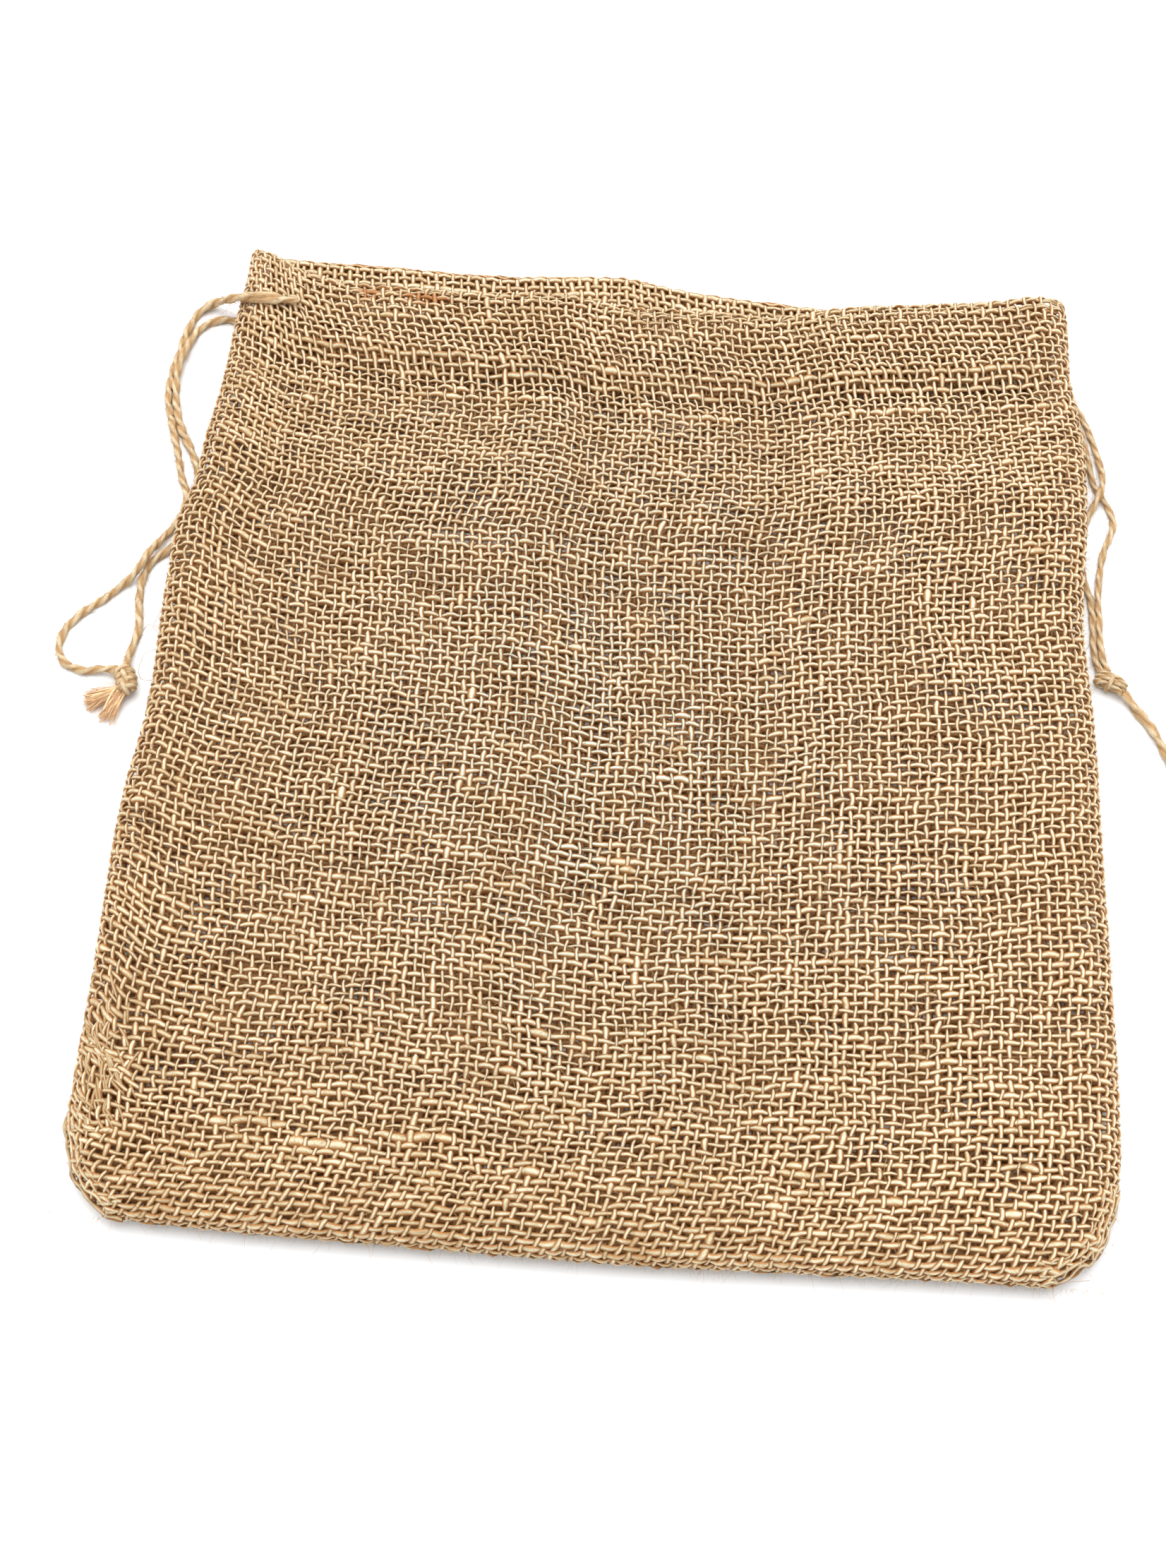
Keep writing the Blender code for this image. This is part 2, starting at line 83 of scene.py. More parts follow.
# The panels' rims, as in the solids, in mm
SEAM_HEIGHT = 5.3
CROWN_HEIGHT = 11.2
FRONT_RIM_REACH = 12.0
SEAM_LIFT = 3.3
BACK_LIFT_REACH = 14.0
CORNER_BLEND = 4.0
CREASE_CLEAR_OF_RIM = 16.0
FLAP_CLEAR_OF_SEAM = 9.5
MOUTH_ENDS = (-121.4, 123.9)              # where the mouth's edge meets the side seams, in x
NO_FOLD_REACH = 9.0       # the fold and flap start this far in from them
BOTTOM_ENDS = (-109.0, 107.0)             # of the bottom seam's straight run, in x
CORNERS_END = -130.0      # y above which the side seams run straight
Dent = namedtuple("Dent", "y half_length depth")
RIGHT_DENT = Dent(29.0, 22.0, 1.6)        # the right seam is drawn in here

# Soft troughs (negative) and ridges (positive) in the front panel, in mm
Crease = namedtuple("Crease", "x0 y0 x1 y1 width height")
CREASES = [Crease(*row) for row in (
    (-14.0, 88.0, -1.0, -105.0, 9.0, -1.1),
    (67.0, 70.0, 74.0, -118.0, 9.0, -1.1),
    (-24.0, -28.0, 116.0, -18.0, 8.0, 0.8),
    (-105.0, 92.0, -110.0, 5.0, 8.0, -1.1),
    (-110.0, 5.0, -104.0, -122.0, 8.0, -1.1),
    (-120.0, -128.0, -115.5, -111.0, 5.0, -1.6),
    (-112.0, 106.0, 20.0, 99.0, 4.5, -1.5),
    (20.0, 99.0, 118.0, 111.0, 4.5, -1.3),
    (-96.0, 115.0, -30.0, 106.0, 5.0, 1.2),
    (30.0, 107.0, 108.0, 118.0, 5.0, 0.9),
    (-75.0, 126.0, -45.0, 119.0, 6.0, 0.9),
    (-60.0, 60.0, -30.0, -60.0, 14.0, 0.5),
    (30.0, 40.0, 34.0, -120.0, 16.0, 0.4),
    (10.0, 20.0, 10.0, -70.0, 60.0, -0.7),
)]

# Colours, linear, with the number of streaks round a yarn and the strength of its relief; the third
# colour is painted shade, which a yarn's flanks and inward faces are deepened towards
Jute = namedtuple("Jute", "dark light deep streaks bump")
CLOTH_JUTE = Jute((0.485, 0.39, 0.22), (0.89, 0.845, 0.62), (0.485, 0.23, 0.078), 3.2, 1.0)
TWINE_JUTE = Jute((0.48, 0.325, 0.17), (0.84, 0.715, 0.49), (0.54, 0.345, 0.17), 4.5, 0.9)
TASSEL_JUTE = Jute((0.62, 0.34, 0.15), (0.92, 0.70, 0.45), (0.62, 0.34, 0.15), 0.5, 0.3)
HAIR_JUTE = Jute((0.44, 0.215, 0.07), (0.86, 0.68, 0.42), (0.44, 0.215, 0.07), 0.5, 0.1)
BLEACHED = (0.66, 0.765, 0.66)
TONE_SPREAD = 0.07        # between yarns
RUST = (0.45, 0.165, 0.04)
LIT_CROWN_BAND = 0.84         # a yarn is left at its lightest above this share of its half thickness, clear of painted shade
SHADED_FLANK_BAND = 0.34         # and its painted shade is at its deepest below this one
INWARD_SHADE_SHARE = 0.5        # an inward face gets as much painted shade as a flank at this height
SPIN_PER_MM = 1.0         # turn of the fibres round a yarn, in radians
STREAKS_PER_MM = 0.8      # along a yarn
STREAK_TONE = 2.4         # how far the streaks swing the tone
RELIEF = 0.22             # height of the streaks, in mm

# Random waves: how many, the shortest and longest one, and their height, all lengths in mm
CLOTH_WAVES = ((7, 60.0, 170.0, 0.5), (12, 16.0, 45.0, 0.2))  # warps to the side
WEFT_WAVES = ((7, 60.0, 170.0, 0.4), (12, 16.0, 45.0, 0.2))  # wefts up and down
RIPPLE_WAVES = (14, 14.0, 40.0, 0.18)     # of the front's surface
RUMPLE_WAVES = (10, 12.0, 28.0, 0.9)      # of both, in the disorder low on the left
WANDER_WAVES = (10, 4.5, 50.0, 0.19)      # a yarn out of its place in the weave
SIZE_WAVES = (12, 2.6, 60.0, 0.16)        # a yarn's size, as a share
SLUB_WAVES = (9, 20.0, 70.0, 1.0)         # where a yarn swells
TONE_WAVES = (12, 2.5, 60.0, 0.15)
PATCH_WAVES = (10, 8.0, 40.0, 0.35)       # of the worn place
CORNER_WAVES, CORNER_SIZE_WAVES = (6, 5.0, 25.0, 0.2), (5, 4.0, 20.0, 0.1)
FOLD_WAVES, FOLD_SIZE_WAVES = (6, 10.0, 60.0, 0.2), (8, 5.0, 30.0, 0.12)
PLY_LAY_WAVES = (6, 5.0, 40.0, 0.07)
PLY_SIZE_WAVES = (6, 3.0, 20.0, 0.05)
PLY_TONE_WAVES = (8, 2.0, 30.0, 0.12)

# Unevenness of the cloth, in mm.  The bands in brackets are where they start and their width
BOTTOM_BAND = 28.0        # above the bottom seam, where the warps lean
BOTTOM_LEAN = (8.0, 8.0, 6.0, 6.5, 7.0)   # from left to right
HEM_BAND = 38.0           # below the mouth's fold, where the warps lean
HEM_LEAN = (2.5, 9.0, 7.5, 6.0, 4.6, 3.8, 5.0, 5.4, 3.0)
HEM_LEAN_END = 1.15       # the lean grows up to here, in bands from where it starts
FLAP_SKEW = 0.12          # of the turned-in layer against the outer one
TIGHT_BAND, TIGHT_BY = (220.0, 36.0), 7.0  # where the wefts lie closer, and how much
WARP_BOW = 3.6            # to the right, halfway up the front
WEFT_SAG = 4.5            # towards the bottom, in the front's middle
EDGE_ROLL = 17.0          # the wefts rise towards the left seam from this far in
EDGE_LIFT = 6.5           # by this much
EDGE_LIFT_BAND = (110.0, -40.0)           # and downwards from this height
SEAM_BAND = (0.0, 20.0)   # nearer to the bottom seam the wefts lie straighter
Rumple = namedtuple("Rumple", "s t half_s half_t")
RUMPLE = Rumple(8.0, 32.0, 13.0, 28.0)    # where the weave lies in disorder
LOOSE_YARNS = 80          # short yarns that lie bunched there
LOOSE_HEADING_DEG = (-62.0, 24.0)         # their middle heading and its spread
FRONT_CUTS = (-99, 44, 88, 999)           # wefts at which a panel's weave is cut in pieces
BACK_CUTS = (-99, 70, 999)
PART_NAMES = ("low", "middle", "top")
CORNER_YARNS = (0.1, 1.3, 2.6, 3.9)       # how far in from a cut corner's edge its yarns run
FOLD_YARNS = (-2.4, -0.8, 0.7, 2.2)       # how far past the fold's start those at the mouth run

# Thick stretches of weft, bits of bark spun into the yarn, and the worn place
Slub = namedtuple("Slub", "x0 x1 y gain")
SLUBS = [Slub(*row) for row in (
    (-71.0, -48.0, -129.6, 0.9),
    (-90.0, -70.0, -126.0, 0.8),
    (-49.0, -30.0, -126.4, 0.7),
    (-38.0, -4.0, -51.4, 0.5),
    (-4.0, 8.0, -51.4, 1.1),
    (8.0, 22.0, -26.8, 0.6),
)]
Spot = namedtuple("Spot", "x y half_x half_y")
BARK = (Spot(-83.2, 130.6, 3.4, 2.0), Spot(-66.4, 129.8, 7.4, 2.0))
WORN = Spot(-6.0, -12.0, 84.0, 108.0)
# Pale, dark and warm bands, as where they start and their width, below 0 for downwards
PALE_RIGHT, PALE_HEM, DARK_BOTTOM = (25.0, 50.0), (95.0, 12.0), (-115.0, -15.0)
PALE_GAIN, PALE_HEM_SHARE, DARK_LOSS = 0.27, 0.35, 0.04
WARM_SIDES, WARM_HEM, WARM_BOTTOM = (100.0, 18.0), (108.0, 15.0), (-118.0, -12.0)
BARK_STAIN, WARM_STAIN, WORN_STAIN, LOOSE_STAIN = 0.85, 0.07, 0.72, 0.15

# Long loose fibres that stick out of the cloth, in mm
STRAY_SIZE, STRAY_TONE = 0.06, 0.1
STRAYS = (
    ((-126.0, -2.0, 3.0), (-127.2, -1.0, 0.6), (-129.2, -0.9, 0.4), (-130.3, -0.3, 0.4),
     (-131.2, 2.0, 0.4), (-131.0, 4.6, 0.4), (-130.6, 7.0, 0.4), (-129.0, 8.0, 0.6),
     (-126.6, 8.4, 2.0)),
    ((-126.4, 12.0, 3.0), (-128.6, 14.6, 1.2), (-131.0, 17.0, 0.4), (-132.2, 14.8, 0.3)),
    ((-126.6, 22.6, 3.0), (-128.0, 21.4, 1.4), (-129.0, 19.0, 0.6), (-129.7, 16.8, 0.4),
     (-128.4, 16.0, 0.8)),
    ((-10.0, 145.6, 5.0), (-6.0, 149.0, 4.0), (-1.0, 150.6, 3.0), (4.0, 147.0, 4.0)),
    ((118.0, 140.0, 5.0), (120.6, 143.0, 3.0), (123.4, 143.4, 1.5), (124.6, 141.6, 0.6)),
    ((123.0, 110.0, 5.0), (127.0, 112.0, 2.5), (131.0, 113.0, 1.0), (134.0, 110.4, 0.4)),
    ((-70.0, -146.0, 2.0), (-74.0, -149.0, 0.6), (-79.0, -149.6, 0.4), (-83.0, -148.0, 0.4)),
)

# Loose fibres, in mm: a gamma distribution for the length, and ranges for the rest
Fibres = namedtuple("Fibres", "gamma length lift thickness tone")
STRING_FIBRES = Fibres((2.2, 1.0), (0.8, 6.5), (0.0, 0.15), (0.028, 0.055), (0.35, 0.95))
CLOTH_FIBRES = Fibres((2.4, 1.3), (1.0, 8.0), (0.0, 0.35), (0.035, 0.08), (0.0, 0.95))
EDGE_FIBRES = Fibres((2.2, 0.8), (0.6, 5.0), (-0.1, 0.3), (0.022, 0.045), (0.3, 0.95))
HAIRS_PER_MM = 4.0        # of a string's length
HAIR_BEND = 0.8
HAIR_TAPER = 0.55
CLEAR_OF_FLOOR = 0.08
FRONT_HAIRS = 8000
BACK_HAIRS = 3000
BACK_HAIR_SIZE = 1.5      # of the front's
EDGE_HAIRS = 900
ATLAS_MARGIN = 0.08       # of a strip's width left free in the bake map

# Light and floor
LIGHT_COLOUR = (1.0, 0.99, 0.975)
WORLD_STRENGTH = 0.97
LAMP_PLACE = (-0.2, 1.1, 3.2)
LAMP_SIZE, LAMP_WATTS = 4.0, 130.0
FLOOR_SIZE, FLOOR_COLOUR = 6.0, (0.88, 0.90, 0.93)

# Strings: routes from each hem to its knot, and the tail's from there, in metres
LEFT_A = (
    (-0.1025, 0.1246, 0.0126), (-0.1099, 0.1252, 0.0125), (-0.1172, 0.1261, 0.0115),
    (-0.1228, 0.1277, 0.0089), (-0.127, 0.13, 0.0051), (-0.1314, 0.1309, 0.0022),
    (-0.1354, 0.1278, 0.00095), (-0.1376, 0.1206, 0.00095), (-0.1384, 0.1126, 0.00095),
    (-0.1392, 0.1066, 0.00095), (-0.1394, 0.0996, 0.00095), (-0.1386, 0.093, 0.00095),
    (-0.1354, 0.0831, 0.00095), (-0.1332, 0.0768, 0.00095), (-0.1304, 0.0673, 0.00095),
    (-0.128, 0.0617, 0.00095), (-0.1276, 0.0564, 0.00095), (-0.1291, 0.0506, 0.00095),
    (-0.1314, 0.0459, 0.0013), (-0.1343, 0.0389, 0.003), (-0.1357, 0.0348, 0.0031),
    (-0.138, 0.0309, 0.0021), (-0.1415, 0.0275, 0.00095), (-0.1448, 0.0237, 0.00095),
    (-0.1485, 0.0202, 0.00095), (-0.1516, 0.0164, 0.00095), (-0.1536, 0.0124, 0.00095),
    (-0.154, 0.0076, 0.00095), (-0.1526, 0.0039, 0.00095), (-0.1499, 0.0016, 0.00095),
    (-0.1453, 0.0003, 0.0011), (-0.1411, 0.0008, 0.0017), (-0.1365, 0.0004, 0.0025),
)
LEFT_B = (
    (-0.1203, 0.1252, 0.00095), (-0.124, 0.1259, 0.00095), (-0.1282, 0.1259, 0.00095),
    (-0.132, 0.124, 0.00095), (-0.1346, 0.1206, 0.0011), (-0.1359, 0.1162, 0.0017),
    (-0.1369, 0.1106, 0.0025), (-0.1375, 0.1046, 0.0023), (-0.1372, 0.0982, 0.0014),
    (-0.1358, 0.0912, 0.00095), (-0.1329, 0.0833, 0.00095), (-0.1294, 0.0771, 0.00095),
    (-0.1263, 0.0702, 0.00095), (-0.1249, 0.0615, 0.00095), (-0.1256, 0.0526, 0.00095),
    (-0.1284, 0.0434, 0.00095), (-0.1316, 0.0394, 0.00095), (-0.134, 0.0364, 0.00095),
    (-0.1352, 0.0314, 0.00095), (-0.135, 0.0258, 0.00095), (-0.1344, 0.0212, 0.00095),
    (-0.1335, 0.0164, 0.00095), (-0.1335, 0.0118, 0.00095), (-0.1341, 0.0078, 0.0013),
    (-0.1342, 0.0044, 0.0022), (-0.134, 0.0014, 0.0025),
)
RIGHT_C = (
    (0.1234, 0.1186, 0.00075), (0.1252, 0.1142, 0.00075), (0.1277, 0.109, 0.00075),
    (0.1298, 0.1034, 0.00075), (0.1314, 0.097, 0.00075), (0.1326, 0.09, 0.0013),
    (0.1329, 0.0846, 0.0023), (0.1319, 0.0794, 0.0025), (0.13, 0.075, 0.0014),
    (0.1284, 0.0714, 0.00075), (0.1266, 0.065, 0.00075), (0.1256, 0.0575, 0.00075),
    (0.1263, 0.0496, 0.00075), (0.1275, 0.0436, 0.00075), (0.1279, 0.0368, 0.00075),
    (0.1277, 0.0294, 0.00075), (0.1279, 0.0234, 0.0012), (0.129, 0.0191, 0.002),
)
RIGHT_D = (
    (0.1216, 0.1164, 0.00075), (0.1233, 0.1122, 0.00075), (0.1256, 0.1076, 0.00075),
    (0.1275, 0.1026, 0.00075), (0.1289, 0.0954, 0.00075), (0.1298, 0.088, 0.00075),
    (0.131, 0.0822, 0.00075), (0.1334, 0.0774, 0.00075), (0.1354, 0.0713, 0.00075),
    (0.1346, 0.0661, 0.00075), (0.1321, 0.0598, 0.00075), (0.1306, 0.0516, 0.00075),
    (0.1298, 0.0437, 0.00075), (0.1297, 0.0367, 0.00075), (0.1296, 0.0294, 0.00075),
    (0.1299, 0.024, 0.0012), (0.1308, 0.0192, 0.002),
)
RIGHT_TAIL = (
    (0.1349, 0.0131, 0.0021), (0.1381, 0.0081, 0.0014), (0.1419, 0.0027, 0.00115),
    (0.1445, -0.0032, 0.00115), (0.1466, -0.0096, 0.00115), (0.1482, -0.0162, 0.00115),
    (0.1486, -0.0226, 0.00115),
)

# Twine, in mm
Twine = namedtuple("Twine", "diameter turn")
LEFT_TWINE = Twine(1.8, 7.5)
RIGHT_TWINE = Twine(1.4, 6.5)
TAIL_TWINE = Twine(2.2, 22.0)
LEFT_A_SWELLS = ((0.0, 0.7), (5.0, 1.35), (13.0, 1.7), (20.0, 1.35), (36.0, 1.2), (70.0, 1.1))
LEFT_B_SWELLS = ((0.0, 1.15),)
RIGHT_SWELLS = ((0.0, 1.2),)
PLY_STEP = 0.6            # between the rings of a ply
PLY_RADIUS = 0.38         # of one of the two plies, in diameters
PLY_WIDER = 1.12          # than it is thick
PLY_OFFSET = 0.20         # of a ply's middle from the string's, in diameters

# Knots, in mm: windings of twine round an axis, with a core inside, and frayed ends
Knot = namedtuple("Knot", "x y z turn_deg half_length half_height turns spacing")
LEFT_KNOT = Knot(-133.4, -2.4, 2.75, 18.0, 2.1, 1.75, 3.9, 1.9)
RIGHT_KNOT = Knot(131.4, 15.7, 2.25, -24.0, 4.0, 1.6, 2.5, 1.55)
KNOT_TAPER = 0.16         # the outermost windings are this share smaller
WRAP_REACH = 0.55         # of the windings' width, to each side of the last wrap's middle
WRAP_CLEAR = 0.35         # how far the last wrap lies outside the others
TASSEL_ROOT = (-133.6, -5.4, 2.6)
TasselFan = namedtuple("TasselFan", "first_deg last_deg length locks fibres")
LOCK_SIZES, FRAY_SIZES = (0.3, 0.5), (0.05, 0.11)  # half widths of locks and fibres
FRAY_ENDS = (0.4, 2.3)    # height of their ends above the floor
FRAY_CLEAR = 0.35         # no fibre's middle is lower than this
TASSEL_FANS = (
    TasselFan(188.0, 216.0, 10.6, 16, 150),
    TasselFan(240.0, 258.0, 9.8, 8, 90),
    TasselFan(180.0, 270.0, 11.0, 0, 50),
)


# ---- camera, floor and light

def new_object(name, data):
    """An object in the scene that shows this data."""
    made = bpy.data.objects.new(name, data)
    bpy.context.scene.collection.objects.link(made)
    return made


def set_inputs(node, given):
    """Set a node's inputs, or link them where another node's output is given."""
    for socket, value in given.items():
        if isinstance(value, bpy.types.NodeSocket):
            node.id_data.links.new(value, node.inputs[socket])
        else:
            node.inputs[socket].default_value = value
    return node


def make_camera():
    camera = new_object("camera", bpy.data.cameras.new("camera"))
    camera.data.sensor_width = CAMERA_SENSOR_MM
    camera.data.lens = CAMERA_LENS_MM
    camera.data.clip_start = 0.01
    camera.location = CAMERA_PLACE
    camera.rotation_euler = [math.radians(a) for a in CAMERA_TURN_DEG]
    bpy.context.scene.camera = camera


def make_floor():
    bpy.ops.mesh.primitive_plane_add(size=FLOOR_SIZE, location=(0.0, 0.0, 0.0))
    floor = bpy.context.object
    floor.name = "floor"
    material = bpy.data.materials.new("white_floor")
    material.use_nodes = True
    set_inputs(material.node_tree.nodes["Principled BSDF"], {
        "Base Color": (*FLOOR_COLOUR, 1.0), "Roughness": 0.7, "Specular IOR Level": 0.2})
    floor.data.materials.append(material)


def make_light():
    world = bpy.data.worlds.new("studio")
    world.use_nodes = True
    set_inputs(world.node_tree.nodes["Background"],
               {"Color": (*LIGHT_COLOUR, 1.0), "Strength": WORLD_STRENGTH})
    bpy.context.scene.world = world
    lamp = bpy.data.lights.new("far_softbox", "AREA")
    lamp.shape = "DISK"
    lamp.size = LAMP_SIZE
    lamp.energy = LAMP_WATTS
    lamp.color = LIGHT_COLOUR
    holder = new_object("far_softbox", lamp)
    holder.location = LAMP_PLACE
    holder.rotation_euler = (-Vector(LAMP_PLACE)).to_track_quat("-Z", "Y").to_euler()
    bpy.context.scene.view_settings.view_transform = "Standard"


# ---- materials

def jute_material(name, jute):
    """Undyed jute: fibre streaks along each yarn, with a tone of its own for every yarn,
    and painted shade that deepens its flanks and inward faces.

    The meshes carry `fibre`, whose x and y go round the yarn with +y at its crown and z
    runs along it in mm, `tone`, mostly from 0 to 1, and `stain`, which is above 0 where bark
    was spun in or the cloth is warmer, and below 0 where it is bleached.
    """
    material = bpy.data.materials.new(name)
    material.use_nodes = True
    nodes = material.node_tree.nodes

    def new_node(kind, given):
        return set_inputs(nodes.new("ShaderNode" + kind), given)

    def attribute(label, output):
        node = nodes.new("ShaderNodeAttribute")
        node.attribute_name = label
        return node.outputs[output]

    def maths(operation, first, second):
        node = new_node("Math", {0: first, 1: second})
        node.operation = operation
        return node.outputs["Value"]

    def mixed(under, colour, share):
        given = {"Color1": under, "Color2": (*colour, 1.0), "Fac": share}
        return new_node("MixRGB", given).outputs["Color"]

    fibre, tone = attribute("fibre", "Vector"), attribute("tone", "Fac")
    stain = attribute("stain", "Fac")
    parts = new_node("SeparateXYZ", {"Vector": fibre}).outputs

    # the spinning twist carries the streaks round the yarn
    twist = maths("MULTIPLY", parts["Z"], SPIN_PER_MM)
    twisted = new_node("VectorRotate", {"Vector": fibre, "Angle": twist})
    twisted.rotation_type = "Z_AXIS"
    stretched = new_node("Mapping", {"Vector": twisted.outputs["Vector"],
                                     "Scale": (jute.streaks, jute.streaks, STREAKS_PER_MM)})
    grain = new_node("TexNoise", {"Vector": stretched.outputs["Vector"], "Scale": 1.0,
                                  "Detail": 4.0, "Roughness": 0.65}).outputs["Fac"]
    swing_of_tone = maths("MULTIPLY", maths("SUBTRACT", grain, 0.5), STREAK_TONE)
    ramp = new_node("ValToRGB", {"Fac": maths("ADD", tone, swing_of_tone)})
    for stop, colour, at in zip(ramp.color_ramp.elements, (jute.dark, jute.light), (0.05, 0.95)):
        stop.color = (*colour, 1.0)
        stop.position = at

    # painted shade: a yarn's flanks, and somewhat its inward face, are deepened towards the painted
    # shade colour, standing in for self-shadow and light bounced between the yarns
    facing = maths("MAXIMUM", parts["Y"], maths("MULTIPLY", parts["Y"], -INWARD_SHADE_SHARE))
    shade_share = new_node("MapRange", {"Value": facing, "From Min": LIT_CROWN_BAND, "From Max": SHADED_FLANK_BAND})
    bleached = mixed(ramp.outputs["Color"], BLEACHED, maths("MULTIPLY", stain, -1.0))
    shaded = mixed(bleached, jute.deep, shade_share.outputs["Result"])

    relief = new_node("Bump", {"Height": grain, "Strength": jute.bump, "Distance": RELIEF * MM})
    set_inputs(nodes["Principled BSDF"], {
        "Base Color": mixed(shaded, RUST, stain), "Normal": relief.outputs["Normal"],
        "Roughness": 0.55, "Specular IOR Level": 0.25})
    return material


# ---- tubes

def unit(vectors):
    return vectors / np.maximum(np.linalg.norm(vectors, axis=-1, keepdims=True), 1e-9)


def clipped(values):
    """The values, kept between 0 and 1."""
    return np.clip(values, 0.0, 1.0)


def into(values, band):
    """How far values are into a band, from 0 before it to 1 past it."""
    start, width = band
    return clipped((values - start) / width)


def run_along(line):
    """Distance of each point of a line, or of many, from the first one, along the line."""
    steps = np.linalg.norm(np.diff(line, axis=-2), axis=-1)
    return np.concatenate([np.zeros((*steps.shape[:-1], 1)), np.cumsum(steps, axis=-1)], axis=-1)


class Tubes:
    """Collects closed tubes and makes them one mesh with its streak, tone and stain values."""

    def __init__(self, sides):
        self.sides = sides
        self.points, self.fibre, self.tone, self.stain = [], [], [], []
        self.faces, self.atlas = [], []
        self.vertex_count, self.tube_count = 0, 0

    def add(self, line, up, half_width, half_height, tone, stain=0.0):
        """line is (tubes, rings, 3), or (rings, 3) for one tube; the rest is spread to fit it."""
        line = line.reshape(-1, *line.shape[-2:])
        tubes, rings, _ = line.shape
        looks = (half_width, half_height, tone, stain)
        half_width, half_height, tone, stain = (np.broadcast_to(v, (tubes, rings)) for v in looks)
        along = unit(np.gradient(line, axis=1))
        side = unit(np.cross(along, np.broadcast_to(up, line.shape)))
        top = np.cross(side, along)
        angle = 2.0 * math.pi * np.arange(self.sides) / self.sides
        wide = half_width[..., None, None] * side[:, :, None, :] * np.cos(angle)[:, None]
        high = half_height[..., None, None] * top[:, :, None, :] * np.sin(angle)[:, None]
        self.points.append((line[:, :, None, :] + wide + high).reshape(-1, 3))

        run = run_along(line)
        start = rng.uniform(0.0, 900.0, (tubes, 1))
        shape = (tubes, rings, self.sides)
        swirl = (np.cos(angle), np.sin(angle), (run + start)[:, :, None])
        self.fibre.append(np.stack([np.broadcast_to(v, shape) for v in swirl], -1).reshape(-1, 3))
        self.tone.append(np.broadcast_to(tone[..., None], shape).reshape(-1))
        self.stain.append(np.broadcast_to(stain[..., None], shape).reshape(-1))

        index = self.vertex_count + np.arange(tubes * rings * self.sides).reshape(shape)
        lower, upper = index[:, :-1], index[:, 1:]
        next_lower, next_upper = np.roll(lower, -1, axis=2), np.roll(upper, -1, axis=2)
        quads = np.stack([lower, upper, next_upper, next_lower], -1)
        self.faces.append(quads.reshape(-1, 4))
        corner = np.arange(self.sides) / self.sides
        length = (run / np.maximum(run[:, -1:], 1e-6))[:, :, None]
        strip = (self.tube_count + np.arange(tubes))[:, None, None, None]
        u = np.stack([corner, corner, corner + 1 / self.sides, corner + 1 / self.sides], -1)
        v = np.stack([length[:, :-1], length[:, 1:], length[:, 1:], length[:, :-1]], -1)
        self.atlas.append(np.stack(np.broadcast_arrays(strip, u, v), -1).reshape(-1, 3))
        self.caps(index, tubes)
        self.vertex_count += tubes * rings * self.sides
        self.tube_count += tubes

    def caps(self, index, tubes):
        """Close both ends with quads, or with one quad and a repeated corner on three sides."""
        for end, ring in enumerate((index[:, 0], index[:, -1, ::-1])):
            for first in range(1, self.sides - 1, 2):
                third = min(first + 2, self.sides - 1)
                self.faces.append(ring[:, [0, first, first + 1, third]])
                strip = self.tube_count + np.arange(tubes)
                place = np.stack([strip, np.full(tubes, 0.5), np.full(tubes, float(end))], -1)
                self.atlas.append(np.repeat(place, 4, axis=0))

    def build(self, name, material, slot, rows=1):
        """Make the mesh object; its bake map has every tube as one strip, in that many rows."""
        mesh = bpy.data.meshes.new(name)
        points = np.concatenate(self.points) * MM
        faces = np.concatenate(self.faces)
        quad = faces[:, 3] != faces[:, 2]
        keep = np.ones(faces.shape, bool)
        keep[~quad, 3] = False
        corners = faces[keep]
        sizes = np.where(quad, 4, 3)
        mesh.vertices.add(len(points))
        mesh.vertices.foreach_set("co", points.astype(np.float32).ravel())
        mesh.loops.add(len(corners))
        mesh.loops.foreach_set("vertex_index", corners.astype(np.int32))
        mesh.polygons.add(len(faces))
        mesh.polygons.foreach_set("loop_start", (np.cumsum(sizes) - sizes).astype(np.int32))
        mesh.update(calc_edges=True)
        mesh.shade_smooth()

        strip, u, v = np.concatenate(self.atlas).reshape(*faces.shape, 3)[keep].T
        columns = math.ceil(self.tube_count / rows)
        across = (strip % columns + ATLAS_MARGIN + u * (1 - 2 * ATLAS_MARGIN)) / columns
        upwards = (strip // columns + ATLAS_MARGIN + v * (1 - 2 * ATLAS_MARGIN)) / rows
        bake_map = mesh.uv_layers.new(name="OFBake")
        bake_map.data.foreach_set("uv", np.stack([across, upwards], -1).astype(np.float32).ravel())
        fibre = mesh.attributes.new("fibre", "FLOAT_VECTOR", "POINT")
        fibre.data.foreach_set("vector", np.concatenate(self.fibre).astype(np.float32).ravel())
        for label, values in (("tone", self.tone), ("stain", self.stain)):
            layer = mesh.attributes.new(label, "FLOAT", "POINT")
            layer.data.foreach_set("value", np.concatenate(values).astype(np.float32))

        piece = new_object(name, mesh)
        mesh.materials.append(material)
        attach(piece, "root")
        return piece


def new_waves(count, shortest, longest, height, dimensions):
    """Random smooth waves: a function of that many coordinates that swings about `height`."""
    length = np.exp(rng.uniform(math.log(shortest), math.log(longest), count))
    heading = unit(rng.normal(size=(count, dimensions)))
    numbers = 2.0 * math.pi * heading / length[:, None]
    phases = rng.uniform(0, 2 * math.pi, count)

    def swing(*coordinates):
        total = 0.0
        for number, phase in zip(numbers, phases):
            total = total + np.sin(sum(k * c for k, c in zip(number, coordinates)) + phase)
        return total * height / math.sqrt(0.5 * count)

    return swing


def wavy(kind, *coordinates):
    """The swing of new waves of a kind."""
    return new_waves(*kind, len(coordinates))(*coordinates)


# ---- strings, knots and frayed ends

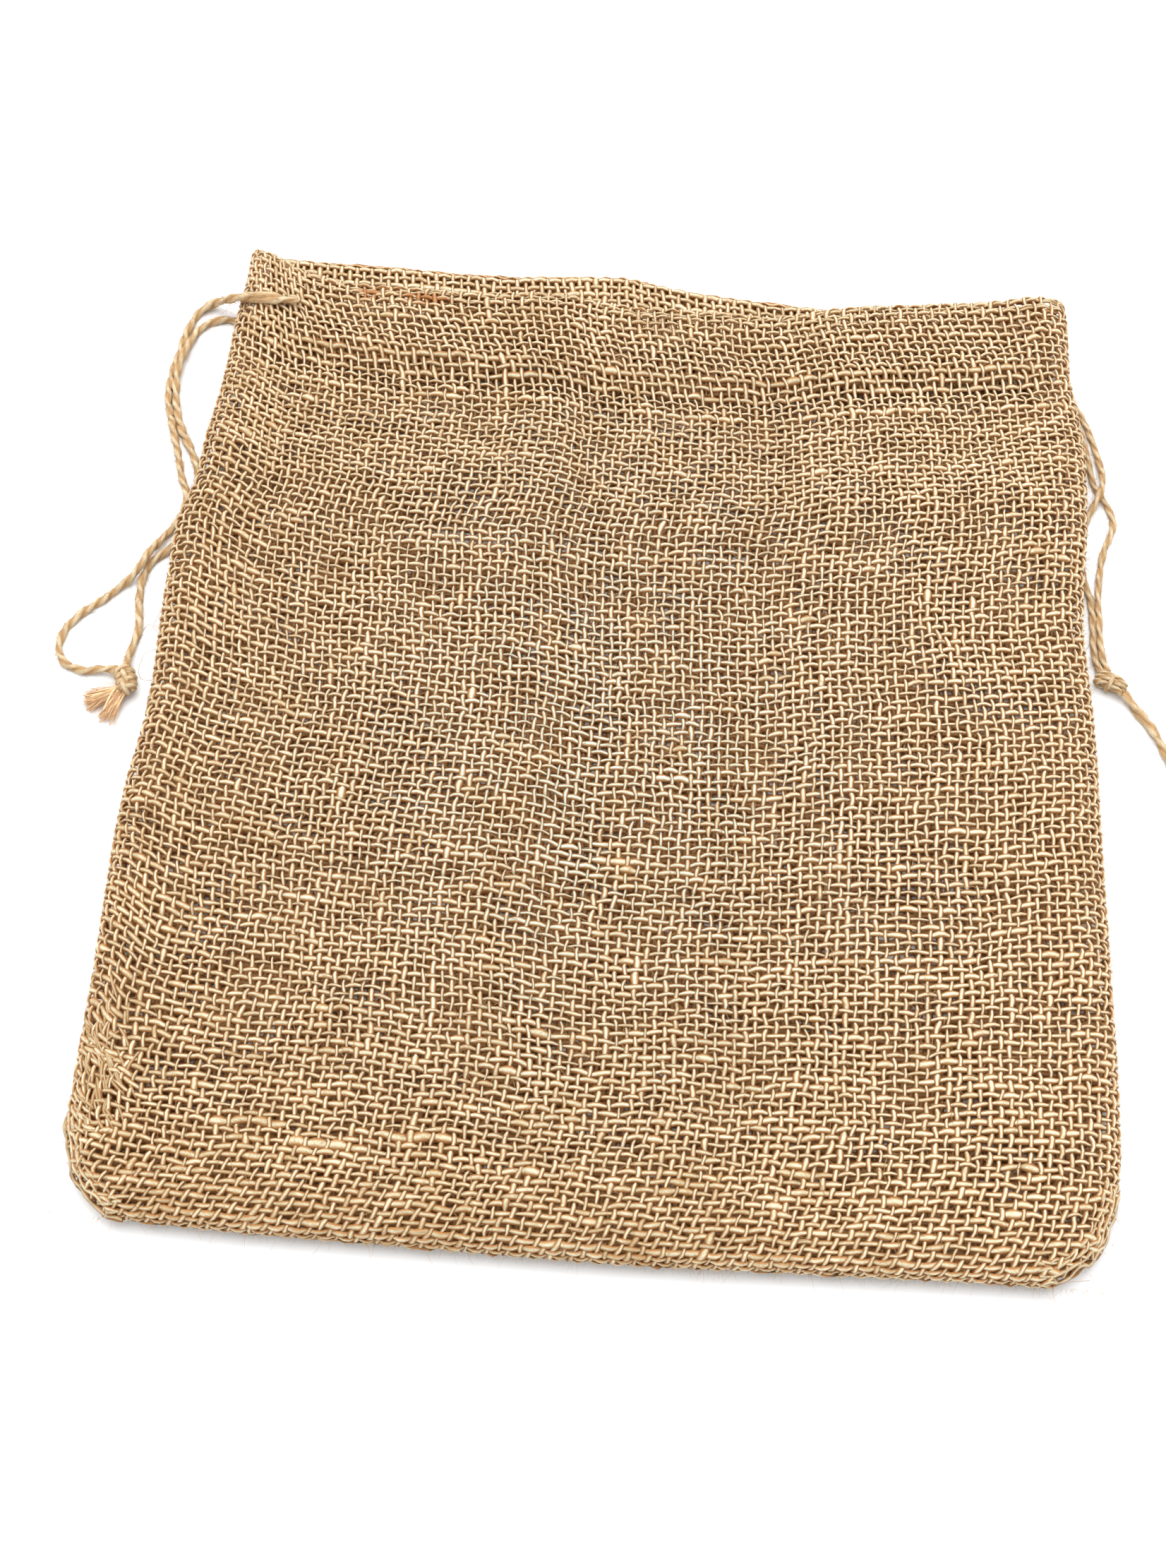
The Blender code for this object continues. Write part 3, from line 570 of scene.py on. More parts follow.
def smooth_route(points, spacing):
    """Even points along a Catmull-Rom curve through the route's own points."""
    knots = [2 * points[0] - points[1], *points, 2 * points[-1] - points[-2]]
    fine = []
    for p0, p1, p2, p3 in zip(knots, knots[1:], knots[2:], knots[3:]):
        for t in np.linspace(0.0, 1.0, 12, endpoint=False):
            fine.append(0.5 * (2 * p1 + (p2 - p0) * t + (2 * p0 - 5 * p1 + 4 * p2 - p3) * t * t
                               + (3 * p1 - p0 - 3 * p2 + p3) * t ** 3))
    fine = np.array(fine + [knots[-2]])
    run = run_along(fine)
    stops = np.linspace(0.0, run[-1], int(round(run[-1] / spacing)) + 1)
    return np.stack([np.interp(stops, run, fine[:, axis]) for axis in range(3)], axis=1)


def carried_frame(line):
    """A side and an up direction along a line, carried on without twisting."""
    along = unit(np.gradient(line, axis=0))
    up = np.zeros_like(along)
    start = UP if abs(along[0, 2]) < 0.9 else np.array([1.0, 0.0, 0.0])
    up[0] = unit(start - along[0] * along[0].dot(start))
    for i in range(1, len(line)):
        up[i] = unit(up[i - 1] - along[i] * along[i].dot(up[i - 1]))
    return np.cross(along, up), up


def add_plies(tubes, line, twine, first_turn=0.0, swell=1.0):
    """Two plies twisted round one another along a line, thicker where it swells."""
    side, up = carried_frame(line)
    run = run_along(line)
    uneven = wavy(PLY_LAY_WAVES, run)
    swell = np.broadcast_to(swell, run.shape)
    lay = np.cumsum(np.gradient(run) / swell ** 3) / twine.turn
    for ply in range(2):
        turn = first_turn + 2 * math.pi * lay + ply * math.pi + 2.5 * uneven
        away = np.cos(turn)[:, None] * side + np.sin(turn)[:, None] * up
        thick = swell * twine.diameter * (1.0 + uneven + wavy(PLY_SIZE_WAVES, run))
        middle = line + away * (PLY_OFFSET * thick)[:, None]
        tone = 0.5 + wavy(PLY_TONE_WAVES, run)
        tubes.add(middle, away, PLY_RADIUS * thick * PLY_WIDER, PLY_RADIUS * thick, tone)


def add_hairs(tubes, root, lead, kind, rings=4, out=1, size=1.0):
    """Loose fibres from (n, 3) roots in (n, 3) unit directions."""
    count = len(root)
    length = rng.gamma(*kind.gamma, count).clip(*kind.length)
    lift = out * rng.uniform(*kind.lift, count)
    thickness = size * rng.uniform(*kind.thickness, count)
    tone = rng.uniform(*kind.tone, count)
    t = np.linspace(0.0, 1.0, rings)[None, :, None]
    curl = unit(np.cross(lead, rng.normal(size=(count, 3))))
    bend = HAIR_BEND * rng.uniform(-0.5, 0.5, (count, 1, 1))
    length = length[:, None, None]
    line = root[:, None] + lead[:, None] * t * length + curl[:, None] * (t ** 2) * bend * length
    line[..., 2] += lift[:, None] * np.sin(math.pi * t[..., 0])
    line[..., 2] = np.maximum(line[..., 2], CLEAR_OF_FLOOR)
    taper = thickness[:, None] * (1.0 - HAIR_TAPER * t[..., 0])
    up = UP + 0.3 * rng.normal(size=(count, 1, 3))
    tubes.add(line, up, taper, taper, tone[:, None])


def string_hairs(name, line, twine, swell):
    """Fibres that stand off a string, most of them nearly along it."""
    count = int(HAIRS_PER_MM * PLY_STEP * np.sum(swell ** 3))
    tubes = Tubes(3)
    at = 1 + rng.choice(len(line) - 2, count, p=swell[1:-1] ** 3 / np.sum(swell[1:-1] ** 3))
    along = unit(line[at + 1] - line[at - 1]) * rng.choice([-1.0, 1.0], (count, 1))
    off = unit(np.cross(along, rng.normal(size=(count, 3))))
    root = line[at] + off * twine.diameter * swell[at][:, None] * rng.uniform(0.3, 0.5, (count, 1))
    spread = rng.exponential(0.32, (count, 1)).clip(0.05, 1.6)
    add_hairs(tubes, root, unit(along + off * spread), STRING_FIBRES, rings=3)
    return tubes.build(name, HAIR_MATERIAL, "jute_twine", rows=round(math.sqrt(count)))


def make_string(node, route, twine, swells=((0.0, 1.0),)):
    """One string; swells are (mm from the hem, share of the diameter)."""
    route = np.array(route) / MM
    line = smooth_route(route, PLY_STEP)
    length = np.linalg.norm(np.diff(line, axis=0), axis=1).sum()
    swell = np.interp(np.linspace(0.0, length, len(line)), *zip(*swells))
    tubes = Tubes(6)
    add_plies(tubes, line, twine, rng.uniform(0, math.pi), swell)
    piece = tubes.build(node + "_twine", TWINE_MATERIAL, "jute_twine")
    hairs = string_hairs(node + "_hairs", line, twine, swell)
    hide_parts(node)
    return piece


def make_knot(node, knot, twine):
    """Windings of twine round a core that fills the knot's middle."""
    heading = math.radians(knot.turn_deg)
    long_way = np.array([math.cos(heading), math.sin(heading), 0.0])
    axis = np.array([-math.sin(heading), math.cos(heading), 0.0])
    middle = np.array([knot.x, knot.y, knot.z])
    phi = np.linspace(0.0, 2 * math.pi * knot.turns, int(40 * knot.turns))
    off_axis = (phi / phi[-1] - 0.5) * knot.turns * knot.spacing
    swell = 1.0 - KNOT_TAPER * np.abs(phi / phi[-1] * 2 - 1) ** 2
    line = (middle + np.cos(phi)[:, None] * long_way * (knot.half_length * swell)[:, None]
            + np.sin(phi)[:, None] * UP * (knot.half_height * swell)[:, None]
            + off_axis[:, None] * axis)
    tubes = Tubes(6)
    add_plies(tubes, line, twine)
    # a last wrap that crosses the others at a slant, as an overhand knot's does
    slant = np.linspace(0.4, 1.2, 24) * math.pi
    reach = axis * WRAP_REACH * knot.turns * knot.spacing + 0.5 * long_way
    across = (middle + np.cos(slant)[:, None] * reach
              + np.sin(slant)[:, None] * UP * (knot.half_height + WRAP_CLEAR))
    add_plies(tubes, across, twine)
    core = middle + np.linspace(-0.5, 0.5, 9)[:, None] * axis * knot.turns * knot.spacing
    size = np.sqrt(1.02 - np.linspace(-1, 1, 9) ** 2)
    tubes.add(core, UP, size * knot.half_length, size * knot.half_height, 0.35)
    piece = tubes.build(node + "_twine", TWINE_MATERIAL, "jute_twine")
    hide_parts(node)
    return piece


def make_tassel(node, root, fans):
    """Untwisted locks and fibres that fan out from a root and come to rest on the floor."""
    tubes = Tubes(5)
    for fan in fans:
        count = fan.locks + fan.fibres
        is_lock = np.arange(count) < fan.locks
        angle = np.radians(rng.uniform(fan.first_deg, fan.last_deg, count))
        length = fan.length * rng.uniform(0.85, 1.02, count)
        t = np.linspace(0.0, 1.0, 9)[None, :, None]
        lead = np.stack([np.cos(angle), np.sin(angle), np.zeros(count)], -1)[:, None]
        start = np.array(root) + rng.normal(size=(count, 1, 3)) * (0.55, 0.55, 0.4)
        wiggle = np.cross(lead, (0, 0, 1.0)) * rng.normal(size=(count, 1, 1)) * 0.35
        line = start + lead * t * length[:, None, None]
        line = line + wiggle * np.sin(3.0 * t + angle[:, None, None])
        drop = start[..., 2:] - rng.uniform(*FRAY_ENDS, (count, 1, 1))
        line[..., 2:] = start[..., 2:] - drop * t ** 1.3
        line[..., 2] = np.maximum(line[..., 2], FRAY_CLEAR)
        size = np.where(is_lock, rng.uniform(*LOCK_SIZES, count), rng.uniform(*FRAY_SIZES, count))
        size = size[:, None] * (1.0 - 0.45 * t[..., 0])
        tubes.add(line, UP, size, size, rng.uniform(0.3, 0.95, (count, 1)))
    piece = tubes.build(node + "_fibres", TASSEL_MATERIAL, "jute_twine", rows=20)
    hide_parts(node)
    return piece


# ---- woven panels

def reach_of(node, axis, stations, take):
    """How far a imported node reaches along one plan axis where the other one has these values."""
    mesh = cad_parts[node].data
    points = np.zeros(len(mesh.vertices) * 3)
    mesh.vertices.foreach_get("co", points)
    points = points.reshape(-1, 3) / MM
    edges = np.zeros(len(mesh.edges) * 2, int)
    mesh.edges.foreach_get("vertices", edges)
    start, end = points[edges.reshape(-1, 2)].transpose(1, 0, 2)
    found = []
    for station in stations:
        before, after = start[:, 1 - axis] - station, end[:, 1 - axis] - station
        cuts = before * after < 0
        t = before[cuts] / (before[cuts] - after[cuts])
        found.append(take(start[cuts, axis] + t * (end[cuts, axis] - start[cuts, axis])))
    return np.array(found)


def weft_place(v):
    """Distance along the cloth of weft v from the bottom seam."""
    return WEFT_PITCH * v + 0.5 * WEFT_GROWTH * v * np.abs(v)


class Panel:
    """Where the cloth of one panel lies.  s runs across and t along the cloth, in mm."""

    def __init__(self, node, out, rim_reach, rim_rise):
        low, high = (np.array(corner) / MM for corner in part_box(node))
        self.out = out                      # +1 where the outer face looks up, -1 where down
        self.top_xs = np.linspace(*MOUTH_ENDS, 240)
        self.mouth = reach_of(node, 1, self.top_xs, np.max)
        from_end = np.minimum(self.top_xs - MOUTH_ENDS[0], MOUTH_ENDS[1] - self.top_xs)
        self.mouth = self.mouth + FOLD_RADIUS * (from_end < NO_FOLD_REACH)
        self.xs = np.linspace(*BOTTOM_ENDS, 220)
        self.bottom = reach_of(node, 1, self.xs, np.min)
        self.ys = np.linspace(low[1] + 2.5, min(self.mouth[0], self.mouth[-1]) - 2.2, 300)
        self.left = reach_of(node, 0, self.ys, np.min)
        drawn_in = np.exp(-((self.ys - RIGHT_DENT.y) / RIGHT_DENT.half_length) ** 2)
        self.right = reach_of(node, 0, self.ys, np.max) - RIGHT_DENT.depth * drawn_in
        theta = np.linspace(0.0, 0.5 * math.pi, 80)
        self.rim_plan = rim_reach * (1.0 - np.cos(theta))
        bent = np.hypot(np.gradient(self.rim_plan), np.gradient(rim_rise * np.sin(theta)))
        self.rim_arc = np.concatenate([[0.0], np.cumsum(0.5 * (bent[1:] + bent[:-1]))])
        spare = self.rim_arc[-1] - rim_reach
        above_corners = self.ys > CORNERS_END
        self.plan_width = float(np.mean((self.right - self.left)[above_corners]))
        self.plan_length = float(np.mean(self.mouth) - np.mean(self.bottom)) - FOLD_RADIUS
        self.width = self.plan_width + 2.0 * spare
        self.fold_at = self.plan_length + spare
        self.turn_length = math.pi * (FOLD_RADIUS - 0.5 * CLOTH)
        self.length = self.fold_at + self.turn_length + HEM_FLAP
        self.leaning = [new_waves(*kind, 2) for kind in CLOTH_WAVES]
        self.lifting = [new_waves(*kind, 2) for kind in WEFT_WAVES]
        self.ripple = new_waves(*RIPPLE_WAVES, 2)
        self.rumple = [new_waves(*RUMPLE_WAVES, 2) for _ in range(2)]

    def plan(self, arc):
        """Plan distance from a seam for a distance along the cloth."""
        inside = np.interp(arc, self.rim_arc, self.rim_plan)
        return inside + np.maximum(arc - self.rim_arc[-1], 0.0)

    def sides(self, y):
        return np.interp(y, self.ys, self.left), np.interp(y, self.ys, self.right)

    def side_distance(self, x, y):
        left, right = self.sides(y)
        return np.minimum(x - left, right - x)

    def seam_distance(self, x, y):
        side = self.side_distance(x, y)
        bottom = y - np.interp(x, self.xs, self.bottom)
        side, bottom = np.maximum(side, 0.01), np.maximum(bottom, 0.01)
        blended = (side ** -CORNER_BLEND + bottom ** -CORNER_BLEND) ** (-1.0 / CORNER_BLEND)
        return blended - 0.01 * 2.0 ** (-1.0 / CORNER_BLEND)

    def height(self, x, y):
        inwards = self.seam_distance(x, y)
        if self.out < 0:
            near_seam = 1.0 - np.minimum(inwards / BACK_LIFT_REACH, 1.0)
            return SEAM_LIFT * near_seam ** 2
        arch = np.sqrt(1.0 - clipped(1.0 - inwards / FRONT_RIM_REACH) ** 2)
        inside = clipped(inwards / CREASE_CLEAR_OF_RIM)
        inside = inside * inside * (3.0 - 2.0 * inside)
        total = self.ripple(x, y)
        for c in CREASES:
            start, way = np.array((c.x0, c.y0)), np.array((c.x1 - c.x0, c.y1 - c.y0))
            t = clipped(((x - start[0]) * way[0] + (y - start[1]) * way[1]) / way.dot(way))
            off = np.hypot(x - start[0] - t * way[0], y - start[1] - t * way[1])
            total = total + c.height * np.exp(-(off / c.width) ** 2)
        return SEAM_HEIGHT + (CROWN_HEIGHT - SEAM_HEIGHT) * arch + inside * total

    def outer_face(self, s, t):
        from_left = self.plan(s) / self.plan_width
        from_right = self.plan(self.width - s) / self.plan_width
        share_x = np.where(s < 0.5 * self.width, from_left, 1.0 - from_right)
        share_y = self.plan(np.minimum(t, self.fold_at)) / self.plan_length
        y = self.ys[0] + share_y * (self.ys[-1] - self.ys[0])
        for _ in range(3):
            # the yarns run on straight past the cut corners, where they are clipped
            left, right = self.sides(np.maximum(y, CORNERS_END))
            x = left + share_x * (right - left)
            low, high = np.interp(x, self.xs, self.bottom), np.interp(x, self.top_xs, self.mouth)
            y = low + share_y * (high - FOLD_RADIUS - low)
        turn = into(t, (self.fold_at, self.turn_length)) * math.pi
        y = y - np.maximum(t - self.fold_at - self.turn_length, 0.0)
        z = self.height(x, y) - self.out * FOLD_RADIUS * (1.0 - np.cos(turn))
        past_seam = np.minimum(np.minimum(s, self.width - s), 0.0) + np.minimum(t, 0.0)
        return np.stack([x, y + FOLD_RADIUS * np.sin(turn), z + self.out * past_seam], -1)

    def middle(self, s, t):
        """Points in the cloth's middle and its outward normals."""
        step = 0.3
        across = self.outer_face(s + step, t) - self.outer_face(s - step, t)
        along = self.outer_face(s, t + step) - self.outer_face(s, t - step)
        normal = unit(np.cross(across, along)) * self.out
        return self.outer_face(s, t) - normal * 0.5 * CLOTH, normal

    def lattice(self, u, v):
        """Where warp u crosses weft v: the weave as it was pulled out of true."""
        s, t = u * WARP_PITCH, weft_place(v)
        low_end = clipped(1.0 - t / BOTTOM_BAND) ** 2
        hem = np.clip((t - self.fold_at + HEM_BAND) / HEM_BAND, 0.0, HEM_LEAN_END)
        lean = sum(wave(s, t) for wave in self.leaning)
        lift = sum(wave(s, t) for wave in self.lifting)
        if self.out > 0:
            height = clipped(t / self.fold_at)
            across = clipped(s / self.width)
            lean = lean - low_end * spread_out(BOTTOM_LEAN, across)
            lean = lean - hem ** 2 * spread_out(HEM_LEAN, across)
            lean = lean + WARP_BOW * np.sin(math.pi * height)
            lift = lift - WEFT_SAG * np.sin(math.pi * height) * np.sin(math.pi * across)
            edge = clipped(1.0 - s / EDGE_ROLL) ** 1.5
            lift = lift + EDGE_LIFT * edge * into(t, EDGE_LIFT_BAND)
            lift = lift - TIGHT_BY * into(t, TIGHT_BAND)
            off_s, off_t = (s - RUMPLE.s) / RUMPLE.half_s, (t - RUMPLE.t) / RUMPLE.half_t
            rumpled = np.exp(-off_s ** 2 - off_t ** 2)
            lean = lean + rumpled * self.rumple[0](s, t)
            lift = lift + rumpled * self.rumple[1](s, t)
        lean = lean + FLAP_SKEW * np.maximum(t - self.fold_at, 0.0)
        return s + lean, t + lift * into(t, SEAM_BAND)


def spread_out(values, share):
    """The course through evenly spaced values, straight between them."""
    return np.interp(share, np.linspace(0.0, 1.0, len(values)), values)


def on_cloth(panel, s, t, middle):
    """Where yarns are kept: inside the seams and cut corners, the flap clear of the side seams."""
    clear = np.minimum(s, panel.width - s)
    inside = (clear > -RIM_OVERRUN) & (t > -RIM_OVERRUN) & (t < panel.length)
    inside &= (t < panel.fold_at + 0.5) | (clear > FLAP_CLEAR_OF_SEAM)
    above_corners = middle[..., 1] >= CORNERS_END
    return inside & (above_corners | (panel.side_distance(middle[..., 0], middle[..., 1]) > -0.3))


def between_cuts(warp, at, low, high):
    """A warp is cut where it passes under a weft, and goes on from the same ring."""
    low_cut = low + (warp + low + 1) % 2
    high_cut = high + (warp + high + 1) % 2
    return (at >= low_cut) & (at <= high_cut + CROSSING_TOP)


def yarn_runs(inside):
    """First and last+1 sample of each unbroken stretch of a yarn that lies on the cloth."""
    edge = np.flatnonzero(np.diff(np.concatenate([[0], inside.astype(int), [0]])))
    return [(a, b) for a, b in zip(edge[::2], edge[1::2]) if b - a >= 3]


def yarn_sizes(count, run, kind):
    """Half width and half thickness along yarns of uneven spinning; run is (count, rings)."""
    own = np.exp(rng.normal(0.0, kind.spread, (count, 1)))
    offset = rng.uniform(0, 5000.0, (count, 1))
    along = wavy(SIZE_WAVES, run + offset)
    slub = np.clip(wavy(SLUB_WAVES, run * 1.3 + 2 * offset) - 1.75, 0.0, 0.6)
    scale = own * (1.0 + along + slub)
    return kind.half_width * scale, kind.half_height * (0.35 + 0.65 * scale)


def add_yarns(panel, pieces, kind, yarns, crossings, cuts, dense, fullness):
    """The warps or the wefts of one panel, each unbroken run of a yarn as a closed tube."""
    is_warp = kind is WARP
    spots = (-CROSSING_TOP, CROSSING_TOP) if dense else (0.0,)
    at = (crossings[:, None] + np.array(spots)).ravel()
    crossing = np.repeat(crossings, len(spots))
    own, along = np.meshgrid(yarns.astype(float), at, indexing="ij")
    s, t = panel.lattice(own, along) if is_warp else panel.lattice(along, own)
    run = along * WARP_PITCH
    phase = rng.uniform(0.0, 6000.0, (len(yarns), 1))
    wander = wavy(WANDER_WAVES, run + phase)
    s, t = (s + wander, t) if is_warp else (s, t + wander)
    over = np.where((yarns[:, None] + crossing[None]) % 2 == 0, 1.0, -1.0)
    over = over if is_warp else -over
    middle, normal = panel.middle(s, t)
    line = middle + normal * (over * CRIMP)[..., None]
    width, height = yarn_sizes(len(yarns), run, kind)
    width = width * fullness
    if not is_warp:
        width, height = thick_places(middle, width, height)
    own_tone = rng.normal(0.0, TONE_SPREAD, (len(yarns), 1))
    tone = kind.tone + own_tone + wavy(TONE_WAVES, run + phase) + paler_places(middle)
    stain = stains(middle) if dense else np.zeros(tone.shape)
    width = width * (EDGE_FULLNESS + WORN_THINNER * np.minimum(stain, 0.0)) if dense else width
    kept = on_cloth(panel, s, t, middle)
    for i, yarn in enumerate(yarns):
        for tubes, low, high in zip(pieces, cuts, cuts[1:]):
            in_part = between_cuts(yarn, at, low, high) if is_warp else low < yarn <= high
            for a, b in yarn_runs(kept[i] & in_part):
                cut = (slice(i, i + 1), slice(a, b))
                tubes.add(line[cut], normal[cut], width[cut], height[cut], tone[cut], stain[cut])


def weave(panel, name, cuts, dense, fullness):
    """The cloth of one panel, in one piece for each stretch between cuts."""
    warps = np.arange(-SPARE_YARNS, int(panel.width / WARP_PITCH) + SPARE_YARNS + 1)
    last_weft = np.searchsorted(weft_place(np.arange(999)), panel.length)
    wefts = np.arange(-SPARE_YARNS, last_weft + SPARE_YARNS)
    pieces = [Tubes(4) for _ in cuts[1:]]
    add_yarns(panel, pieces, WARP, warps, wefts, cuts, dense, fullness)
    add_yarns(panel, pieces, WEFT, wefts, warps, cuts, dense, fullness)
    add_corner_yarns(panel, pieces[0])
    if dense:
        add_loose_yarns(panel, pieces[0])
    add_edge_yarns(panel, pieces[-1])
    return [tubes.build(f"{name}_{part}", CLOTH_MATERIAL, "jute_cloth")
            for part, tubes in zip(PART_NAMES, pieces)]


def add_corner_yarns(panel, tubes):
    """Yarns that turn round the two cut corners and cover the clipped ends."""
    for side, edge, end in ((1, panel.left, BOTTOM_ENDS[0]), (-1, panel.right, BOTTOM_ENDS[1])):
        low = panel.ys < CORNERS_END + 5.0
        corner = np.stack([edge[low][::-1], panel.ys[low][::-1]], -1)
        seam = (end + 2.0 * side, np.interp(end, panel.xs, panel.bottom))
        corner = np.concatenate([corner, [seam]])
        run = run_along(corner)
        stops = np.linspace(0.0, run[-1], int(run[-1] / 0.8))
        rim = np.stack([np.interp(stops, run, corner[:, axis]) for axis in (0, 1)], -1)
        along = unit(np.gradient(rim, axis=0))
        across = side * np.stack([-along[:, 1], along[:, 0]], -1)
        for number, inset in enumerate(CORNER_YARNS):
            line = rim + (inset + wavy(CORNER_WAVES, stops))[:, None] * across
            weaving = np.cos(math.pi * (stops / WARP_PITCH + number))
            z = panel.height(line[:, 0], line[:, 1]) - panel.out * (0.62 + 0.45 * weaving)
            size = 1.0 + wavy(CORNER_SIZE_WAVES, stops)
            tubes.add(np.column_stack([line, z]), (-0.5 * side, -0.5, panel.out),
                      CORNER_YARN_SIZE[0] * size, CORNER_YARN_SIZE[1] * size,
                      0.5 + rng.normal(0.0, 0.1))


def add_edge_yarns(panel, tubes):
    """Yarns pressed together along the fold of the mouth."""
    s = np.linspace(1.0, panel.width - 1.0, 220)
    folded = clipped(np.minimum(s, panel.width - s) / NO_FOLD_REACH) ** 2
    for past_fold in FOLD_YARNS:
        reach = past_fold * np.where(past_fold > 0.0, folded, 1.0)
        t = panel.fold_at + reach + wavy(FOLD_WAVES, s)
        middle, normal = panel.middle(s, t)
        weaving = np.cos(math.pi * s / WARP_PITCH + 2.0 * past_fold)
        line = middle - normal * (0.2 + 0.35 * weaving)[:, None]
        size = 1.0 + wavy(FOLD_SIZE_WAVES, s)
        tubes.add(line, normal, FOLD_YARN_SIZE[0] * size, FOLD_YARN_SIZE[1] * size,
                  rng.uniform(0.3, 0.6))


def add_loose_yarns(panel, tubes):
    """Short bunched yarns on the weave where it lies in disorder."""
    heading = np.radians(rng.normal(*LOOSE_HEADING_DEG, LOOSE_YARNS))
    length = rng.uniform(3.5, 8.0, LOOSE_YARNS)
    along = np.linspace(-0.5, 0.5, 7)
    bow = rng.normal(0.0, 0.9, LOOSE_YARNS)[:, None] * (0.25 - along ** 2)
    s = RUMPLE.s + RUMPLE.half_s * rng.normal(0.0, 0.36, LOOSE_YARNS)
    t = RUMPLE.t + RUMPLE.half_t * rng.normal(0.1, 0.36, LOOSE_YARNS)
    s = s[:, None] + np.cos(heading)[:, None] * along * length[:, None] + bow
    t = t[:, None] + np.sin(heading)[:, None] * along * length[:, None] + bow
    lowest = RUMPLE.t - 0.4 * RUMPLE.half_t
    middle, normal = panel.middle(np.maximum(s, 1.0), np.maximum(t, lowest))
    line = middle + normal * (0.5 - 4.4 * along ** 2)[None, :, None]
    size = rng.uniform(0.65, 1.0, (LOOSE_YARNS, 1))
    tone = rng.uniform(-0.1, 0.4, (LOOSE_YARNS, 1))
    tubes.add(line, normal, LOOSE_YARN_SIZE[0] * size, LOOSE_YARN_SIZE[1] * size, tone, LOOSE_STAIN)


def thick_places(middle, width, height):
    """Swell the wefts where the photo shows thick ones."""
    for slub in SLUBS:
        near = clipped(1.6 - np.abs(middle[..., 1] - slub.y) / 0.8)
        ends = (middle[..., 0] - slub.x0) * (slub.x1 - middle[..., 0])
        swell = 1.0 + slub.gain * near * clipped(ends / 25.0)
        width, height = width * swell, height * np.sqrt(swell)
    return width, height


def paler_places(middle):
    """What the tone gains at the right and at the hem, and loses at the bottom seam."""
    x, y = middle[..., 0], middle[..., 1]
    pale = np.maximum(into(x, PALE_RIGHT), PALE_HEM_SHARE * into(y, PALE_HEM))
    return PALE_GAIN * pale - DARK_LOSS * into(y, DARK_BOTTOM)


def stains(middle):
    """Above 0 at bits of bark and a little at the rims, below 0 where the cloth is bleached."""
    x, y = middle[..., 0], middle[..., 1]

    def away(spot):
        return ((x - spot.x) / spot.half_x) ** 2 + ((y - spot.y) / spot.half_y) ** 2

    bark = np.max([np.clip(1.5 - away(spot), 0.0, BARK_STAIN) for spot in BARK], axis=0)
    rims = [into(np.abs(x), WARM_SIDES), into(y, WARM_HEM), into(y, WARM_BOTTOM)]
    warm = WARM_STAIN * np.max(rims, axis=0)
    patchy = 1.0 + wavy(PATCH_WAVES, x, y)
    worn = WORN_STAIN * np.exp(-away(WORN)) * np.clip(patchy, 0.0, 1.5)
    return np.where(bark > 0.0, np.maximum(bark, warm), warm - worn)


